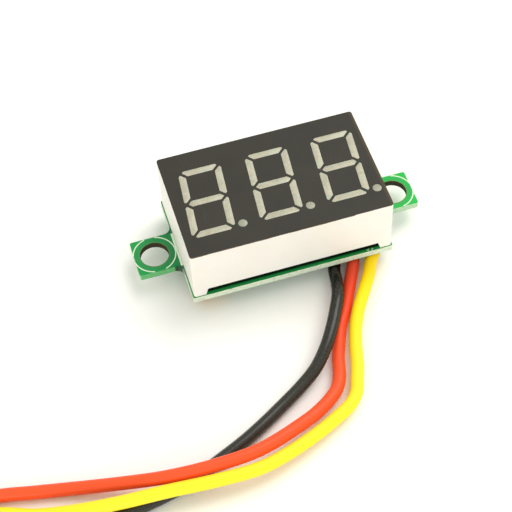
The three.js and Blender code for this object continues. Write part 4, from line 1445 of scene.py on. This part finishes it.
def make_pad_joint(colour, spec):
    """A lead's stripped strands on their pad, under a dome of solder."""
    low, high = span(f"pad_solder_{colour}")
    centre = (low + high) / 2
    start = Vector(spec["route"][0]) / MM
    bm = bmesh.new()
    bmesh.ops.create_uvsphere(bm, u_segments=24, v_segments=16, radius=1)
    cut_faces = [v for v in bm.verts if v.co.z > 0.02]
    bmesh.ops.delete(bm, geom=cut_faces, context="VERTS")
    rim = [edge for edge in bm.edges if edge.is_boundary]
    bmesh.ops.contextual_create(bm, geom=rim)
    depth = high.z - low.z
    for vert in bm.verts:
        swell = 1 + 0.1 * noise.noise(vert.co * 1.8 + Vector((centre.x, 0, 0)))
        flare = 1 + 0.1 * (1 + min(0.0, vert.co.z)) ** 6
        vert.co = Vector((vert.co.x * 0.5 * swell * flare, vert.co.y * 0.78 * swell * flare,
                          vert.co.z * depth * swell))
        vert.co += Vector((centre.x, centre.y, high.z))
    bmesh.ops.recalc_face_normals(bm, faces=bm.faces)
    dome = object_of("dome", mesh_of("dome", bm))
    pad = plate("pad", [[p + Vector((centre.x, centre.y)) for p in rounded_rectangle(1.5, 2.2, 0.3)]],
                BOARD_UNDER - PAD_THICKNESS, BOARD_UNDER - PAD_INSET)
    target = Vector((centre.x, centre.y + 0.2, high.z - 0.35))
    along = (start - target).normalized()
    strands = strand_bundle("strands", target, along, (start - target).length + 0.1,
                            STRAND_BUNDLE_RADIUS, 0.8)
    parts = [(dome, TIN), (pad, TIN), (strands, TIN)]
    finished(joined(f"pad_joint_{colour}", parts), "module", TIN, [f"pad_solder_{colour}"], 50)


# ---- The LED board inside the display ----


def make_led_board():
    low, high = span("led_board")
    top = high.z - LED_CHIP_HEIGHT
    side = DISPLAY_LENGTH / 2 - DISPLAY_WALL - CASTING_GAP
    sheet = slab("sheet", (-side, low.y, low.z), (side, high.y, top), 0.03, 1)
    parts = [(sheet, LED_LAMINATE)]
    for outline in face_openings(0.0):
        middle = sum(outline, Vector((0, 0))) / len(outline)
        chip = bar("chip", (middle.x - LED_CHIP_HALF, middle.x + LED_CHIP_HALF),
                   (middle.y - LED_CHIP_HALF, middle.y + LED_CHIP_HALF), (top, high.z), 0.02, 1)
        parts.append((chip, TIN))
    finished(joined("led_board_part", parts), "module", [LED_LAMINATE, TIN], ["led_board"])


# ---- Everything ----

TIE = make_tie()
for lead_colour, lead_spec in LEADS.items():
    make_lead(lead_colour, lead_spec)
    make_pad_joint(lead_colour, lead_spec)
make_housing()
make_face_mask()
make_casting()
make_led_board()
make_pins()
make_board()
make_print()
make_traces()
make_meter_chip()
make_regulator()
make_moulded_two_lead("protection_diode", CHIP_BLACK)
make_moulded_two_lead("input_capacitor", YELLOW_MOULDING, BROWN_CERAMIC)
make_moulded_two_lead("output_capacitor", YELLOW_MOULDING, BROWN_CERAMIC)
for number in (1, 2):
    make_end_capped(f"filter_capacitor_{number}", BROWN_CERAMIC)
for number in range(1, 9):
    make_end_capped(f"resistor_{number}", WHITE_CERAMIC, BLUE_GLAZE if number <= 4 else CHIP_BLACK)
make_trimmer()

# ---- Floor and light ----


def make_floor():
    bm = bmesh.new()
    bmesh.ops.create_grid(bm, x_segments=1, y_segments=1, size=1.5)
    floor = object_of("floor", mesh_of("floor", bm))
    paper = Finish("pale_floor", "white_plastic", (0.97, 0.97, 0.93), 0.8, Specular_IOR_Level=0.1)
    floor.data.materials.append(paper.material)


def area_light(name, place, aim, size, power, colour=(1, 1, 1)):
    data = bpy.data.lights.new(name, "AREA")
    data.shape = "DISK"
    data.size = size
    data.energy = power
    data.color = colour
    lamp = bpy.data.objects.new(name, data)
    turn = (Vector(aim) - Vector(place)).to_track_quat("-Z", "Y").to_matrix().to_4x4()
    lamp.matrix_world = Matrix.Translation(place) @ turn
    bpy.context.scene.collection.objects.link(lamp)


def make_light():
    world = bpy.data.worlds.new("studio")
    bpy.context.scene.world = world
    world.use_nodes = True
    world.node_tree.nodes["Background"].inputs["Color"].default_value = (1.0, 0.99, 0.97, 1)
    world.node_tree.nodes["Background"].inputs["Strength"].default_value = 0.82
    area_light("key", (0.5, 0.3, 0.8), (0, 0, 0), 0.75, 5.0, (1.0, 0.985, 0.95))
    area_light("fill", (-0.35, -0.8, 0.3), (0, 0, 0), 0.6, 2.6, (1.0, 0.98, 0.94))
    bpy.context.scene.view_settings.view_transform = "Standard"
    bpy.context.scene.view_settings.look = "None"


make_floor()
make_light()
